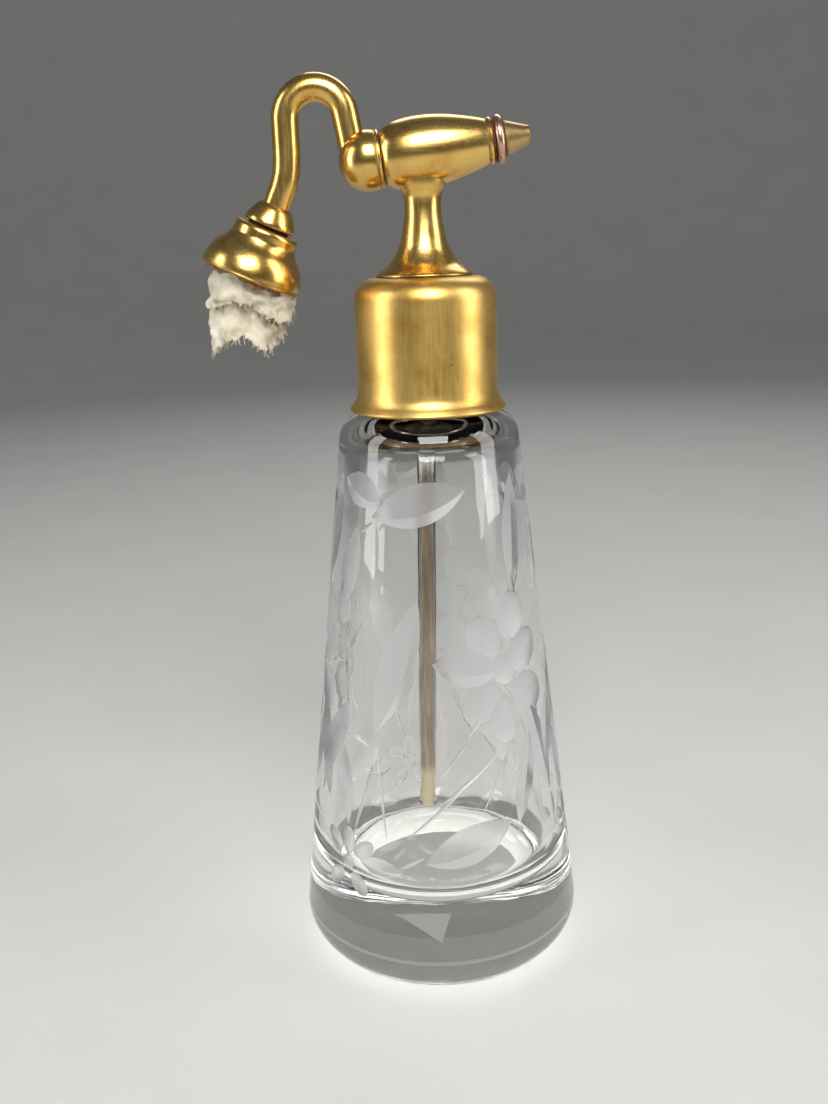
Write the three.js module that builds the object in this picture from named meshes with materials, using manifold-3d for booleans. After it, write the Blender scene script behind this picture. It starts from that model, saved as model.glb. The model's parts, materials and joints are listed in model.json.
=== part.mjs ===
// Perfume atomiser: a cut-glass bottle with a screw-on brass spray head, a swivelling gooseneck
// and the bell that holds the torn remains of its rubber bulb.
// Millimetres, +Z up. The origin is the middle of the bottle's base, and the nozzle points to +X.

import * as THREE from "three";
import { mergeVertices } from "three/addons/utils/BufferGeometryUtils.js";
import Module from "manifold-3d";

const wasm = await Module();
wasm.setup();

// ---------------------------------------------------------------- driving dimensions

const RUNNING_GAP = 0.1; // radial play between two round pieces on one axis
const SEAT_GAP = 0.05; // play between flat faces that rest on each other
const CUT_GAP = 0.3; // play where one piece is cut to the shape of another
const CUT_PAST = 1; // how far a cutting shape runs past the piece it cuts
const WELD = 1e-5; // corners closer than this are one corner

// Bottle
const BOTTLE_SHOULDER_Z = 103; // base to the top of the shoulder
const BOTTLE_BASE_RADIUS = 27.35; // the side's straight line carried down to the base
const BOTTLE_TAPER = 0.115; // radius lost for each millimetre of height
const HEEL_RADIUS = 7.6;
const SHOULDER_RADIUS = 5;
const GLASS_WALL = 4;
const GLASS_FLOOR = 15.5;
const FLOOR_FILLET = 7;
const INNER_SHOULDER_RADIUS = 4;
const NECK_RADIUS = 8.6;
const NECK_BORE = 6.6;
const NECK_HEIGHT = 19.5;
const NECK_EDGE = 0.6; // rounding of the neck's lip and root

// Threaded ferrule cemented on the neck
const CEMENT_THICKNESS = 0.4;
const FERRULE_WALL = 0.65;
const FERRULE_FLANGE = 1.5; // how far the foot flange stands out past the wall
const FERRULE_FLANGE_HEIGHT = 0.8;
const THREAD_PITCH = 2.5;
const THREAD_RIDGE = 0.6; // radius of the round-topped ridge
const THREAD_GAP = 0.3; // crest of the ferrule to the wall of the liner
const FERRULE_THREAD_TURNS = 2.5;
const LINER_THREAD_TURNS = 2;
const THREAD_START = 6; // shoulder to the first turn of the ferrule's thread

// Collar and what it holds
const LINER_WALL = 0.75; // at the root of its thread
const COLLAR_HEIGHT = 22.7;
const COLLAR_RIM_GAP = 0.3; // glass shoulder to the collar's rim
const COLLAR_WALL = 0.7;
const COLLAR_SHOULDER_RADIUS = 3.75;
const COLLAR_FLARE = 1.5; // how far the rim stands out past the side
const COLLAR_FLARE_HEIGHT = 3;
const LINER_CEILING = 1.1;
const LINER_LIFT = 3.2; // collar rim to the liner's lower edge
const WASHER_THICKNESS = 1.4;
const LOCKNUT_HEIGHT = 2.6;
const LOCKNUT_ACROSS_FLATS = 10.4;

// Stem
const STEM_TAIL_RADIUS = 3.4;
const STEM_TAIL_LENGTH = 6.4;
const STEM_TAIL_WALL = 0.8;
const STEM_BORE_STEP = 1.5; // collar top down to where the bore widens for the dip tube
const STEM_BORE = 1.6;
const STEM_SKIRT_RADIUS = 8.3;
const STEM_SKIRT_EDGE = 0.5; // height of the skirt's upright edge
const STEM_WAIST_RADIUS = 3.05;
const STEM_WAIST_HEIGHT = 12.3; // skirt to the narrowest place
const STEM_HEAD_RADIUS = 4.3; // where the stem spreads under the barrel
// Between skirt and waist: height over the collar, and how far outside the waist
const STEM_FLARE = [
  { height: 2.5, spread: 2.9 },
  { height: 4.9, spread: 1.25 },
  { height: 8.2, spread: 0.4 },
];
const RISER_RADIUS = 0.85;
const RISER_BORE = 0.45;
const RISER_TAIL = 1; // how far the riser reaches below the collar's top

// Dip tube
const DIP_TUBE_RADIUS = 1.65;
const DIP_TUBE_BORE = 0.9;
const DIP_TUBE_END_Z = 26;
const DIP_TUBE_LEAN = THREE.MathUtils.degToRad(1.3);
const GLAND_WALL = 0.45;
const GLAND_LENGTH = 4.2;
const GLAND_DEPTH = 1.4; // how far the gland stands out of the stem's tail

// Barrel, along its own axis from the stem's axis
const BARREL_AXIS_HEIGHT = 20.15; // collar top to the barrel's axis
const BARREL_TILT = THREE.MathUtils.degToRad(7);
const BARREL_RADIUS = 5.8;
const BARREL_REAR = -6.5;
const BARREL_REAR_RADIUS = 4.35;
const BARREL_FRONT = 12;
const BARREL_FRONT_RADIUS = 3.4;
// Between its ends: distance along the barrel, and how much thinner it is than its fullest place
const BARREL_SWELL = [
  { along: -3.6, fall: 0.3 },
  { along: -1, fall: 0 },
  { along: 4, fall: 0.35 },
  { along: 8, fall: 1.35 },
];
const BARREL_WALL = 0.8;
const BARREL_SOCKET_DEPTH = 2.3;
const BARREL_THREAD_DEPTH = 3.4;
const SWIVEL_SOCKET_RADIUS = 3.2;
const SPIGOT_RADIUS = 1.85;
const SPIGOT_BORE = 1;
const SPIGOT_FLANGE_RADIUS = 2.6;
const SPIGOT_FLANGE = 0.5;
const JET_BLOCK_RADIUS = 1.9;
const JET_BLOCK_LENGTH = 3.8;
const JET_RADIUS = 0.5;
const JET_BORE = 0.25;

// Nozzle
const NOZZLE_WASHER = 0.3;
const NOZZLE_BEAD_RADIUS = 4;
const NOZZLE_BEAD_LENGTH = 1.55;
const NOZZLE_SPIGOT_RADIUS = 2.25;
const NOZZLE_SPIGOT_LENGTH = 3;
const NOZZLE_BORE = 1;
const NOZZLE_CONE_BASE = 2.9;
const NOZZLE_CONE_END = 1.5;
const NOZZLE_CONE_LENGTH = 4.3;
const NOZZLE_ORIFICE = 0.35;

// Gooseneck
const BALL_RADIUS = 4.95;
const BALL_OVERLAP = 2.75; // how far the ball's sphere would reach past its flat
const TUBE_RADIUS = 2.3;
const TUBE_BORE = 1.7;
const TUBE_OFFSET = 2.2; // ball centre to the leg's axis, level with it
const TUBE_SOCKET_DEPTH = 2;
const LEG_LEAN = THREE.MathUtils.degToRad(10); // the short leg leans back on its way up
const LEG_HEIGHT = 6.7; // ball centre to the centre of the arch
const ARCH_RADIUS = 5.07;
const LONG_LEG = 5.45; // end of the arch to the start of the lower bend
const BEND_RADIUS = 14.3;
const BELL_TILT = THREE.MathUtils.degToRad(24.5);
const TUBE_TAIL = 3.9; // end of the lower bend to the end of the tube

// Bell end, down its own axis from the end of the lower bend
const TUBE_FERRULE_START = 2.25;
const TUBE_FERRULE_LENGTH = 3.5;
const TUBE_FERRULE_LIP = 0.3; // brass round the tube at the ferrule's top
const TUBE_FERRULE_RADIUS = 4.35;
const TUBE_FERRULE_SWELL = 0.1; // how far its dome stands out of a straight cone
const NIPPLE_RADIUS = 2.8;
const NIPPLE_BORE = 1.4;
const NIPPLE_SOCKET_DEPTH = 1.2;
const BELL_WASHER = 0.45;
const BELL_WASHER_RADIUS = 3.85;
const BELL_BAND_RADIUS = 5.5;
const BELL_BAND_LENGTH = 2.3;
const BELL_RADIUS = 8.7;
const BELL_LENGTH = 8.6;
const BELL_WALL = 0.6;
// From the band to the rim: shares of the bell's spread and of its drop
const BELL_OUTLINE = [
  { spread: 0.03, drop: 0 },
  { spread: 0.25, drop: 0.2 },
  { spread: 0.55, drop: 0.37 },
  { spread: 0.82, drop: 0.6 },
  { spread: 1, drop: 1 },
];
const BARB_FLANGE_RADIUS = 4.6;
const BARB_FLANGE = 0.7;
const BARB_RADIUS = 2.2;
const BARB_BORE = 1.3;
const BARB_LENGTH = 5.8;
const BARB_POINT = 0.4; // radius lost at the barb's end
const BARB_POINT_LENGTH = 1;
const RUBBER_WALL = 1.3;
const RUBBER_OVERHANG = 1.3; // torn rubber past the bell's rim
const COTTON_RADIUS = 6;
const COTTON_KNEE = 3; // the bell's rim down to where the cotton turns to hang straight
const COTTON_END_Z = 114.4;

// How finely the round pieces are divided
const BIG_SIDES = 36;
const HEAD_SIDES = 24;
const SMALL_SIDES = 16;
const FINE_SIDES = 10;
const ARC_STEP = THREE.MathUtils.degToRad(24);
const THREAD_SIDES = 6;
const CURVE_STEPS = 9;
const BALL_RINGS = 14;
const ARCH_STEPS = 14;
const BEND_STEPS = 4;
const TUBE_STEPS = 28;
const COTTON_SIDES = 14;
const COTTON_STEPS = 6;

// ---------------------------------------------------------------- places worked out from them

const NECK_TOP_Z = BOTTLE_SHOULDER_Z + NECK_HEIGHT;
const TAPER_ANGLE = Math.atan(BOTTLE_TAPER);
const CEMENT_RADIUS = NECK_RADIUS + RUNNING_GAP + CEMENT_THICKNESS;
const FERRULE_BORE = CEMENT_RADIUS + RUNNING_GAP;
const FERRULE_RADIUS = FERRULE_BORE + FERRULE_WALL;
const LINER_BORE = FERRULE_RADIUS + THREAD_RIDGE + THREAD_GAP;
const COLLAR_RIM_Z = BOTTLE_SHOULDER_Z + COLLAR_RIM_GAP;
const COLLAR_TOP_Z = COLLAR_RIM_Z + COLLAR_HEIGHT;
const LINER_RADIUS = LINER_BORE + LINER_WALL;
const COLLAR_BORE = LINER_RADIUS + RUNNING_GAP;
const COLLAR_RADIUS = COLLAR_BORE + COLLAR_WALL;
const LINER_TOP_Z = COLLAR_TOP_Z - COLLAR_WALL - SEAT_GAP;
const LINER_CEILING_Z = LINER_TOP_Z - LINER_CEILING;
const STEM_SEAT_Z = COLLAR_TOP_Z + SEAT_GAP;
const TAIL_END_Z = STEM_SEAT_Z - STEM_TAIL_LENGTH;
const TAIL_HOLE = STEM_TAIL_RADIUS + RUNNING_GAP;
const BARREL_Z = COLLAR_TOP_Z + BARREL_AXIS_HEIGHT;
const NOZZLE_START = BARREL_FRONT + NOZZLE_WASHER + 2 * SEAT_GAP;
const BALL_CENTRE = BARREL_REAR - CUT_GAP - BALL_RADIUS + BALL_OVERLAP;
const FERRULE_END = TUBE_FERRULE_START + TUBE_FERRULE_LENGTH;
const FERRULE_TOP_RADIUS = TUBE_RADIUS + RUNNING_GAP + TUBE_FERRULE_LIP;
const BELL_START = FERRULE_END + BELL_WASHER + 2 * SEAT_GAP;
const BELL_RIM = BELL_START + BELL_LENGTH;

// ---------------------------------------------------------------- solids

// A closed solid from a three.js geometry, facing outwards.
function solid(geometry) {
  const bare = geometry.clone();
  bare.deleteAttribute("normal");
  bare.deleteAttribute("uv");
  const merged = mergeVertices(bare, WELD);
  const vertices = merged.attributes.position.array;
  const triangles = [];
  let volume = 0;
  const corner = (index) => new THREE.Vector3().fromArray(vertices, 3 * index);
  for (let i = 0; i < merged.index.count; i += 3) {
    const [a, b, c] = [0, 1, 2].map((step) => merged.index.getX(i + step));
    if (a === b || b === c || c === a) continue;
    triangles.push(a, b, c);
    volume += corner(a).dot(corner(b).cross(corner(c)));
  }
  if (volume < 0) triangles.reverse();
  return new wasm.Manifold(
    new wasm.Mesh({
      numProp: 3,
      vertProperties: Float32Array.from(vertices),
      triVerts: Uint32Array.from(triangles),
    }),
  );
}

// A three.js geometry from a solid.
function geometryOf(body) {
  const mesh = body.getMesh();
  const geometry = new THREE.BufferGeometry();
  geometry.setAttribute("position", new THREE.BufferAttribute(mesh.vertProperties, 3));
  geometry.setIndex(new THREE.BufferAttribute(mesh.triVerts, 1));
  geometry.computeVertexNormals();
  return geometry;
}

// An arc of a profile as [radius, height] points, its two ends included.
function arc(centreRadius, centreHeight, radius, from, to) {
  const count = Math.max(1, Math.ceil(Math.abs(to - from) / ARC_STEP - WELD));
  return Array.from({ length: count + 1 }, (_, i) => {
    const angle = from + ((to - from) * i) / count;
    return [centreRadius + radius * Math.cos(angle), centreHeight + radius * Math.sin(angle)];
  });
}

// A smooth curve of a profile through a few [radius, height] points.
function curve(points) {
  const path = new THREE.SplineCurve(points.map(([radius, height]) => new THREE.Vector2(radius, height)));
  return path.getPoints(CURVE_STEPS).map((point) => [point.x, point.y]);
}

// A solid of revolution about Z. The profile starts and ends on the axis.
function turned(profile, sides) {
  const points = profile.map(([radius, height]) => new THREE.Vector2(radius, height));
  return new THREE.LatheGeometry(points, sides).rotateX(Math.PI / 2);
}

// A hollow solid of revolution about Z, whose profile closes on itself.
function turnedRing(profile, sides) {
  return turned([...profile, profile[0]], sides);
}

// A plain tube or ring about Z.
function ring(bore, radius, low, high, sides) {
  return turnedRing([[bore, low], [radius, low], [radius, high], [bore, high]], sides);
}

// A plain rod about Z, for cutting.
function rod(radius, low, high, sides) {
  return turned([[0, low], [radius, low], [radius, high], [0, high]], sides);
}

function circle(radius, sides) {
  const corner = new THREE.Vector2(radius, 0);
  const turn = (2 * Math.PI) / sides;
  return Array.from({ length: sides }, (_, i) => corner.clone().rotateAround(new THREE.Vector2(), i * turn));
}

// A right-handed thread ridge, half sunk in the wall that carries it.
class Helix extends THREE.Curve {
  constructor(radius, start, turns) {
    super();
    Object.assign(this, { radius, start, turns });
  }
  getPoint(t, target = new THREE.Vector3()) {
    const angle = 2 * Math.PI * this.turns * t;
    const height = this.start + THREAD_PITCH * this.turns * t;
    return target.set(this.radius * Math.cos(angle), this.radius * Math.sin(angle), height);
  }
}

function threadRidge(radius, start, turns) {
  const section = new THREE.Shape(circle(THREAD_RIDGE, THREAD_SIDES));
  const steps = Math.round(HEAD_SIDES * turns);
  return new THREE.ExtrudeGeometry(section, { steps, extrudePath: new Helix(radius, start, turns) });
}

// ---------------------------------------------------------------- nodes and frames

const BRASS = { color: 0xc39a4c, roughness: 0.34, metalness: 1 };
const TARNISHED = { color: 0x8d7346, roughness: 0.5, metalness: 1 };
const SILVERED = { color: 0xc9ab93, roughness: 0.3, metalness: 1 };
const GLASS = { color: 0xdfe9e6, roughness: 0.05, metalness: 0 };
const STAINED_GLASS = { color: 0x6e5f50, roughness: 0.2, metalness: 0 };
const CEMENT = { color: 0xd9d2c0, roughness: 0.9, metalness: 0 };
const FIBRE = { color: 0x7a3b24, roughness: 0.8, metalness: 0 };
const CORK = { color: 0xa9825a, roughness: 0.9, metalness: 0 };
const RUBBER = { color: 0xb08a72, roughness: 0.8, metalness: 0 };
const COTTON = { color: 0xe2ddcf, roughness: 0.95, metalness: 0 };

function addNode(parent, name, geometry, look) {
  const mesh = new THREE.Mesh(geometry, new THREE.MeshStandardMaterial(look));
  mesh.name = name;
  parent.add(mesh);
}

const atomiser = new THREE.Group();

// The barrel's frame: its +Z is the barrel's axis, towards the nozzle.
const barrelFrame = new THREE.Group();
barrelFrame.position.set(0, 0, BARREL_Z);
barrelFrame.rotation.y = Math.PI / 2 - BARREL_TILT;
barrelFrame.updateMatrix();

// The ball's frame: its own centre, on the barrel's axis.
const ballFrame = new THREE.Group();
ballFrame.position.z = BALL_CENTRE;
barrelFrame.add(ballFrame);

// The dip tube's frame: its origin is where the tube leaves the stem, and it leans with the tube.
const dipTubeFrame = new THREE.Group();
dipTubeFrame.position.set(0, 0, TAIL_END_Z);
dipTubeFrame.rotation.y = DIP_TUBE_LEAN;

// The bell's frame: its origin is the end of the tube's lower bend, and -Z runs down to the rim.
const ballCentre = new THREE.Vector3(0, 0, BALL_CENTRE).applyMatrix4(barrelFrame.matrix);
const legX = ballCentre.x - TUBE_OFFSET;
const archZ = ballCentre.z + LEG_HEIGHT;
const archX = legX - ARCH_RADIUS / Math.cos(LEG_LEAN) - LEG_HEIGHT * Math.tan(LEG_LEAN);
const longLegX = archX - ARCH_RADIUS;
const bendZ = archZ - LONG_LEG;
const bellFrame = new THREE.Group();
bellFrame.position.set(
  longLegX - BEND_RADIUS * (1 - Math.cos(BELL_TILT)),
  0,
  bendZ - BEND_RADIUS * Math.sin(BELL_TILT),
);
bellFrame.rotation.y = BELL_TILT;
bellFrame.updateMatrix();
atomiser.add(barrelFrame, dipTubeFrame, bellFrame);

// ---------------------------------------------------------------- bottle

const outerSide = (height) => BOTTLE_BASE_RADIUS - BOTTLE_TAPER * height;
const innerSide = (height) => outerSide(height) - GLASS_WALL / Math.cos(TAPER_ANGLE);

// Centre radius of an arc at a given height that runs smoothly into a tapered side.
function sideArcCentre(side, height, radius) {
  return side(height + radius * Math.sin(TAPER_ANGLE)) - radius * Math.cos(TAPER_ANGLE);
}

function bottle() {
  const quarter = Math.PI / 2;
  const shoulderZ = BOTTLE_SHOULDER_Z - SHOULDER_RADIUS;
  const ceilingZ = BOTTLE_SHOULDER_Z - GLASS_WALL;
  const innerShoulderZ = ceilingZ - INNER_SHOULDER_RADIUS;
  const filletZ = GLASS_FLOOR + FLOOR_FILLET;
  const heel = sideArcCentre(outerSide, HEEL_RADIUS, HEEL_RADIUS);
  const shoulder = sideArcCentre(outerSide, shoulderZ, SHOULDER_RADIUS);
  const innerShoulder = sideArcCentre(innerSide, innerShoulderZ, INNER_SHOULDER_RADIUS);
  const floor = sideArcCentre(innerSide, filletZ, FLOOR_FILLET);
  return turned(
    [
      [0, 0],
      ...arc(heel, HEEL_RADIUS, HEEL_RADIUS, -quarter, TAPER_ANGLE),
      ...arc(shoulder, shoulderZ, SHOULDER_RADIUS, TAPER_ANGLE, quarter),
      [NECK_RADIUS + NECK_EDGE, BOTTLE_SHOULDER_Z],
      [NECK_RADIUS, BOTTLE_SHOULDER_Z + NECK_EDGE],
      [NECK_RADIUS, NECK_TOP_Z - NECK_EDGE],
      [NECK_RADIUS - NECK_EDGE, NECK_TOP_Z],
      [NECK_BORE + NECK_EDGE, NECK_TOP_Z],
      [NECK_BORE, NECK_TOP_Z - NECK_EDGE],
      [NECK_BORE, ceilingZ + NECK_EDGE],
      [NECK_BORE + NECK_EDGE, ceilingZ],
      ...arc(innerShoulder, innerShoulderZ, INNER_SHOULDER_RADIUS, quarter, TAPER_ANGLE),
      ...arc(floor, filletZ, FLOOR_FILLET, TAPER_ANGLE, -quarter),
      [0, GLASS_FLOOR],
    ],
    BIG_SIDES,
  );
}

function neckCement() {
  const low = BOTTLE_SHOULDER_Z + FERRULE_FLANGE_HEIGHT + CUT_GAP;
  return ring(NECK_RADIUS + RUNNING_GAP, CEMENT_RADIUS, low, NECK_TOP_Z - NECK_EDGE, HEAD_SIDES);
}

function neckFerrule() {
  const low = BOTTLE_SHOULDER_Z + SEAT_GAP;
  const flangeTop = low + FERRULE_FLANGE_HEIGHT;
  const flangeRadius = FERRULE_RADIUS + FERRULE_FLANGE;
  const high = NECK_TOP_Z - 2 * NECK_EDGE;
  const wall = turnedRing(
    [
      [FERRULE_BORE, low + NECK_EDGE / 2],
      [FERRULE_BORE + NECK_EDGE, low],
      [flangeRadius, low],
      [flangeRadius, flangeTop],
      [FERRULE_RADIUS, flangeTop],
      [FERRULE_RADIUS, high],
      [FERRULE_BORE, high],
    ],
    HEAD_SIDES,
  );
  const start = BOTTLE_SHOULDER_Z + THREAD_START;
  return solid(wall).add(solid(threadRidge(FERRULE_RADIUS, start, FERRULE_THREAD_TURNS)));
}

function neckWasher() {
  const low = LINER_CEILING_Z - SEAT_GAP - WASHER_THICKNESS;
  const radius = COLLAR_RADIUS - COLLAR_SHOULDER_RADIUS - RUNNING_GAP;
  return ring(NECK_BORE + CUT_GAP, radius, low, LINER_CEILING_Z - SEAT_GAP, HEAD_SIDES);
}

// ---------------------------------------------------------------- collar

function collarShell() {
  const shoulder = COLLAR_RADIUS - COLLAR_SHOULDER_RADIUS;
  const shoulderZ = COLLAR_TOP_Z - COLLAR_SHOULDER_RADIUS;
  const innerRadius = COLLAR_SHOULDER_RADIUS - COLLAR_WALL;
  const flareTop = COLLAR_RIM_Z + COLLAR_FLARE_HEIGHT;
  const rim = COLLAR_RADIUS + COLLAR_FLARE;
  const step = COLLAR_WALL / 2;
  return turnedRing(
    [
      [rim - COLLAR_WALL, COLLAR_RIM_Z],
      [rim - step, COLLAR_RIM_Z],
      [rim, COLLAR_RIM_Z + step],
      [COLLAR_RADIUS + COLLAR_FLARE / 3, COLLAR_RIM_Z + COLLAR_FLARE_HEIGHT / 2],
      [COLLAR_RADIUS, flareTop],
      ...arc(shoulder, shoulderZ, COLLAR_SHOULDER_RADIUS, 0, Math.PI / 2),
      [TAIL_HOLE, COLLAR_TOP_Z],
      [TAIL_HOLE, COLLAR_TOP_Z - COLLAR_WALL],
      ...arc(shoulder, shoulderZ, innerRadius, Math.PI / 2, 0),
      [COLLAR_BORE, flareTop],
      [COLLAR_BORE + COLLAR_FLARE / 3, COLLAR_RIM_Z + COLLAR_FLARE_HEIGHT / 2],
    ],
    BIG_SIDES,
  );
}

function collarLiner() {
  const shoulder = COLLAR_RADIUS - COLLAR_SHOULDER_RADIUS;
  const shoulderZ = COLLAR_TOP_Z - COLLAR_SHOULDER_RADIUS;
  const outerRadius = LINER_TOP_Z - shoulderZ;
  const innerRadius = LINER_CEILING_Z - shoulderZ;
  const low = COLLAR_RIM_Z + LINER_LIFT;
  const wall = turnedRing(
    [
      [LINER_BORE, low],
      [LINER_RADIUS, low],
      ...arc(LINER_RADIUS - outerRadius, shoulderZ, outerRadius, 0, Math.PI / 2),
      [TAIL_HOLE, LINER_TOP_Z],
      [TAIL_HOLE, LINER_CEILING_Z],
      ...arc(shoulder, shoulderZ, innerRadius, Math.PI / 2, 0),
    ],
    HEAD_SIDES,
  );
  const start = BOTTLE_SHOULDER_Z + THREAD_START + THREAD_PITCH / 2;
  return solid(wall).add(solid(threadRidge(LINER_BORE, start, LINER_THREAD_TURNS)));
}

function stemLocknut() {
  const high = LINER_CEILING_Z - SEAT_GAP;
  const cornerRadius = LOCKNUT_ACROSS_FLATS / 2 / Math.cos(Math.PI / 6);
  const blank = solid(rod(cornerRadius, high - LOCKNUT_HEIGHT, high, 6));
  const hole = rod(TAIL_HOLE, high - LOCKNUT_HEIGHT - CUT_PAST, high + CUT_PAST, SMALL_SIDES);
  return blank.subtract(solid(hole));
}

// ---------------------------------------------------------------- stem and dip tube

function barrelOutline(offset) {
  const outline = curve([
    [BARREL_REAR_RADIUS, BARREL_REAR],
    ...BARREL_SWELL.map(({ along, fall }) => [BARREL_RADIUS - fall, along]),
    [BARREL_FRONT_RADIUS, BARREL_FRONT],
  ]);
  return outline.map(([radius, height]) => [radius + offset, height]);
}

function stemColumn() {
  const outline = curve([
    [STEM_SKIRT_RADIUS, STEM_SEAT_Z + STEM_SKIRT_EDGE],
    ...STEM_FLARE.map(({ height, spread }) => [STEM_WAIST_RADIUS + spread, STEM_SEAT_Z + height]),
    [STEM_WAIST_RADIUS, STEM_SEAT_Z + STEM_WAIST_HEIGHT],
    [STEM_HEAD_RADIUS, BARREL_Z - STEM_HEAD_RADIUS],
  ]);
  const boreStep = STEM_SEAT_Z - STEM_BORE_STEP;
  const tailBore = STEM_TAIL_RADIUS - STEM_TAIL_WALL;
  const column = turnedRing(
    [
      [tailBore, TAIL_END_Z],
      [STEM_TAIL_RADIUS, TAIL_END_Z],
      [STEM_TAIL_RADIUS, STEM_SEAT_Z],
      [STEM_SKIRT_RADIUS, STEM_SEAT_Z],
      ...outline,
      [STEM_BORE, BARREL_Z - STEM_HEAD_RADIUS],
      [STEM_BORE, boreStep],
      [tailBore, boreStep],
    ],
    HEAD_SIDES,
  );
  const envelope = turned([[0, BARREL_REAR], ...barrelOutline(CUT_GAP), [0, BARREL_FRONT]], HEAD_SIDES);
  return solid(column).subtract(solid(envelope.applyMatrix4(barrelFrame.matrix)));
}

function riserTube() {
  return ring(RISER_BORE, RISER_RADIUS, STEM_SEAT_Z - RISER_TAIL, BARREL_Z - SEAT_GAP, FINE_SIDES);
}

function dipTube() {
  const tip = DIP_TUBE_RADIUS - DIP_TUBE_BORE;
  const low = (DIP_TUBE_END_Z - TAIL_END_Z) / Math.cos(DIP_TUBE_LEAN);
  return turnedRing(
    [
      [DIP_TUBE_BORE, low],
      [DIP_TUBE_RADIUS - tip / 2, low],
      [DIP_TUBE_RADIUS, low + tip],
      [DIP_TUBE_RADIUS, GLAND_LENGTH - GLAND_DEPTH],
      [DIP_TUBE_BORE, GLAND_LENGTH - GLAND_DEPTH],
    ],
    SMALL_SIDES,
  );
}

function dipTubeGland() {
  const bore = DIP_TUBE_RADIUS + SEAT_GAP;
  return ring(bore, bore + GLAND_WALL, -GLAND_DEPTH, GLAND_LENGTH - GLAND_DEPTH, SMALL_SIDES);
}

// ---------------------------------------------------------------- barrel, along its own axis

function barrelShell() {
  const socketBore = SWIVEL_SOCKET_RADIUS + RUNNING_GAP;
  const threadBore = NOZZLE_SPIGOT_RADIUS + RUNNING_GAP;
  const roomRear = BARREL_REAR + BARREL_SOCKET_DEPTH;
  const roomFront = BARREL_FRONT - BARREL_THREAD_DEPTH;
  const room = barrelOutline(-BARREL_WALL)
    .filter(([, height]) => height > roomRear && height < roomFront)
    .reverse();
  const shell = turnedRing(
    [
      ...barrelOutline(0),
      [threadBore, BARREL_FRONT],
      [threadBore, roomFront],
      ...room,
      [socketBore, roomRear],
      [socketBore, BARREL_REAR],
    ],
    HEAD_SIDES,
  );
  const stemHole = rod(STEM_BORE, -BARREL_RADIUS - CUT_PAST, 0, SMALL_SIDES);
  stemHole.translate(0, 0, BARREL_Z).applyMatrix4(barrelFrame.matrix.clone().invert());
  return solid(shell).subtract(solid(stemHole));
}

function swivelSocket() {
  return ring(
    SPIGOT_RADIUS + RUNNING_GAP,
    SWIVEL_SOCKET_RADIUS,
    BARREL_REAR + SEAT_GAP,
    BARREL_REAR + BARREL_SOCKET_DEPTH,
    SMALL_SIDES,
  );
}

function jetBlock() {
  const half = JET_BLOCK_LENGTH / 2;
  const block = solid(rod(JET_BLOCK_RADIUS, -half, half, SMALL_SIDES));
  const jetHole = rod(JET_RADIUS + RUNNING_GAP, -RISER_RADIUS, half + CUT_PAST, FINE_SIDES);
  const riserHole = rod(RISER_RADIUS + CUT_GAP, -JET_BLOCK_RADIUS - CUT_PAST, 0, FINE_SIDES);
  riserHole.rotateY(BARREL_TILT - Math.PI / 2);
  return block.subtract(solid(jetHole)).subtract(solid(riserHole));
}

function liquidJet() {
  const low = RISER_RADIUS + CUT_GAP + SEAT_GAP;
  const high = NOZZLE_START + NOZZLE_BEAD_LENGTH + NOZZLE_CONE_LENGTH / 2;
  return ring(JET_BORE, JET_RADIUS, low, high, FINE_SIDES);
}

// ---------------------------------------------------------------- nozzle

function nozzleWasher() {
  const low = BARREL_FRONT + SEAT_GAP;
  const bore = NOZZLE_SPIGOT_RADIUS + RUNNING_GAP;
  return ring(bore, BARREL_FRONT_RADIUS - RUNNING_GAP, low, low + NOZZLE_WASHER, SMALL_SIDES);
}

function nozzleCollar() {
  const bead = NOZZLE_BEAD_LENGTH / 2;
  const middle = NOZZLE_START + bead;
  return turnedRing(
    [
      [NOZZLE_BORE, NOZZLE_START - NOZZLE_SPIGOT_LENGTH],
      [NOZZLE_SPIGOT_RADIUS, NOZZLE_START - NOZZLE_SPIGOT_LENGTH],
      [NOZZLE_SPIGOT_RADIUS, NOZZLE_START],
      ...arc(NOZZLE_BEAD_RADIUS - bead, middle, bead, -Math.PI / 2, Math.PI / 2),
      [NOZZLE_BORE, NOZZLE_START + NOZZLE_BEAD_LENGTH],
    ],
    HEAD_SIDES,
  );
}

function nozzleTip() {
  const low = NOZZLE_START + NOZZLE_BEAD_LENGTH + SEAT_GAP;
  const high = low + NOZZLE_CONE_LENGTH;
  const edge = NOZZLE_ORIFICE;
  return turnedRing(
    [
      [NOZZLE_BORE, low],
      [NOZZLE_CONE_BASE, low],
      [NOZZLE_CONE_END, high - edge],
      [NOZZLE_CONE_END - edge, high],
      [NOZZLE_ORIFICE, high],
      [NOZZLE_ORIFICE, high - 2 * edge],
      [NOZZLE_BORE, low + NOZZLE_CONE_LENGTH / 2 + 2 * edge],
    ],
    HEAD_SIDES,
  );
}

// ---------------------------------------------------------------- gooseneck

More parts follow.
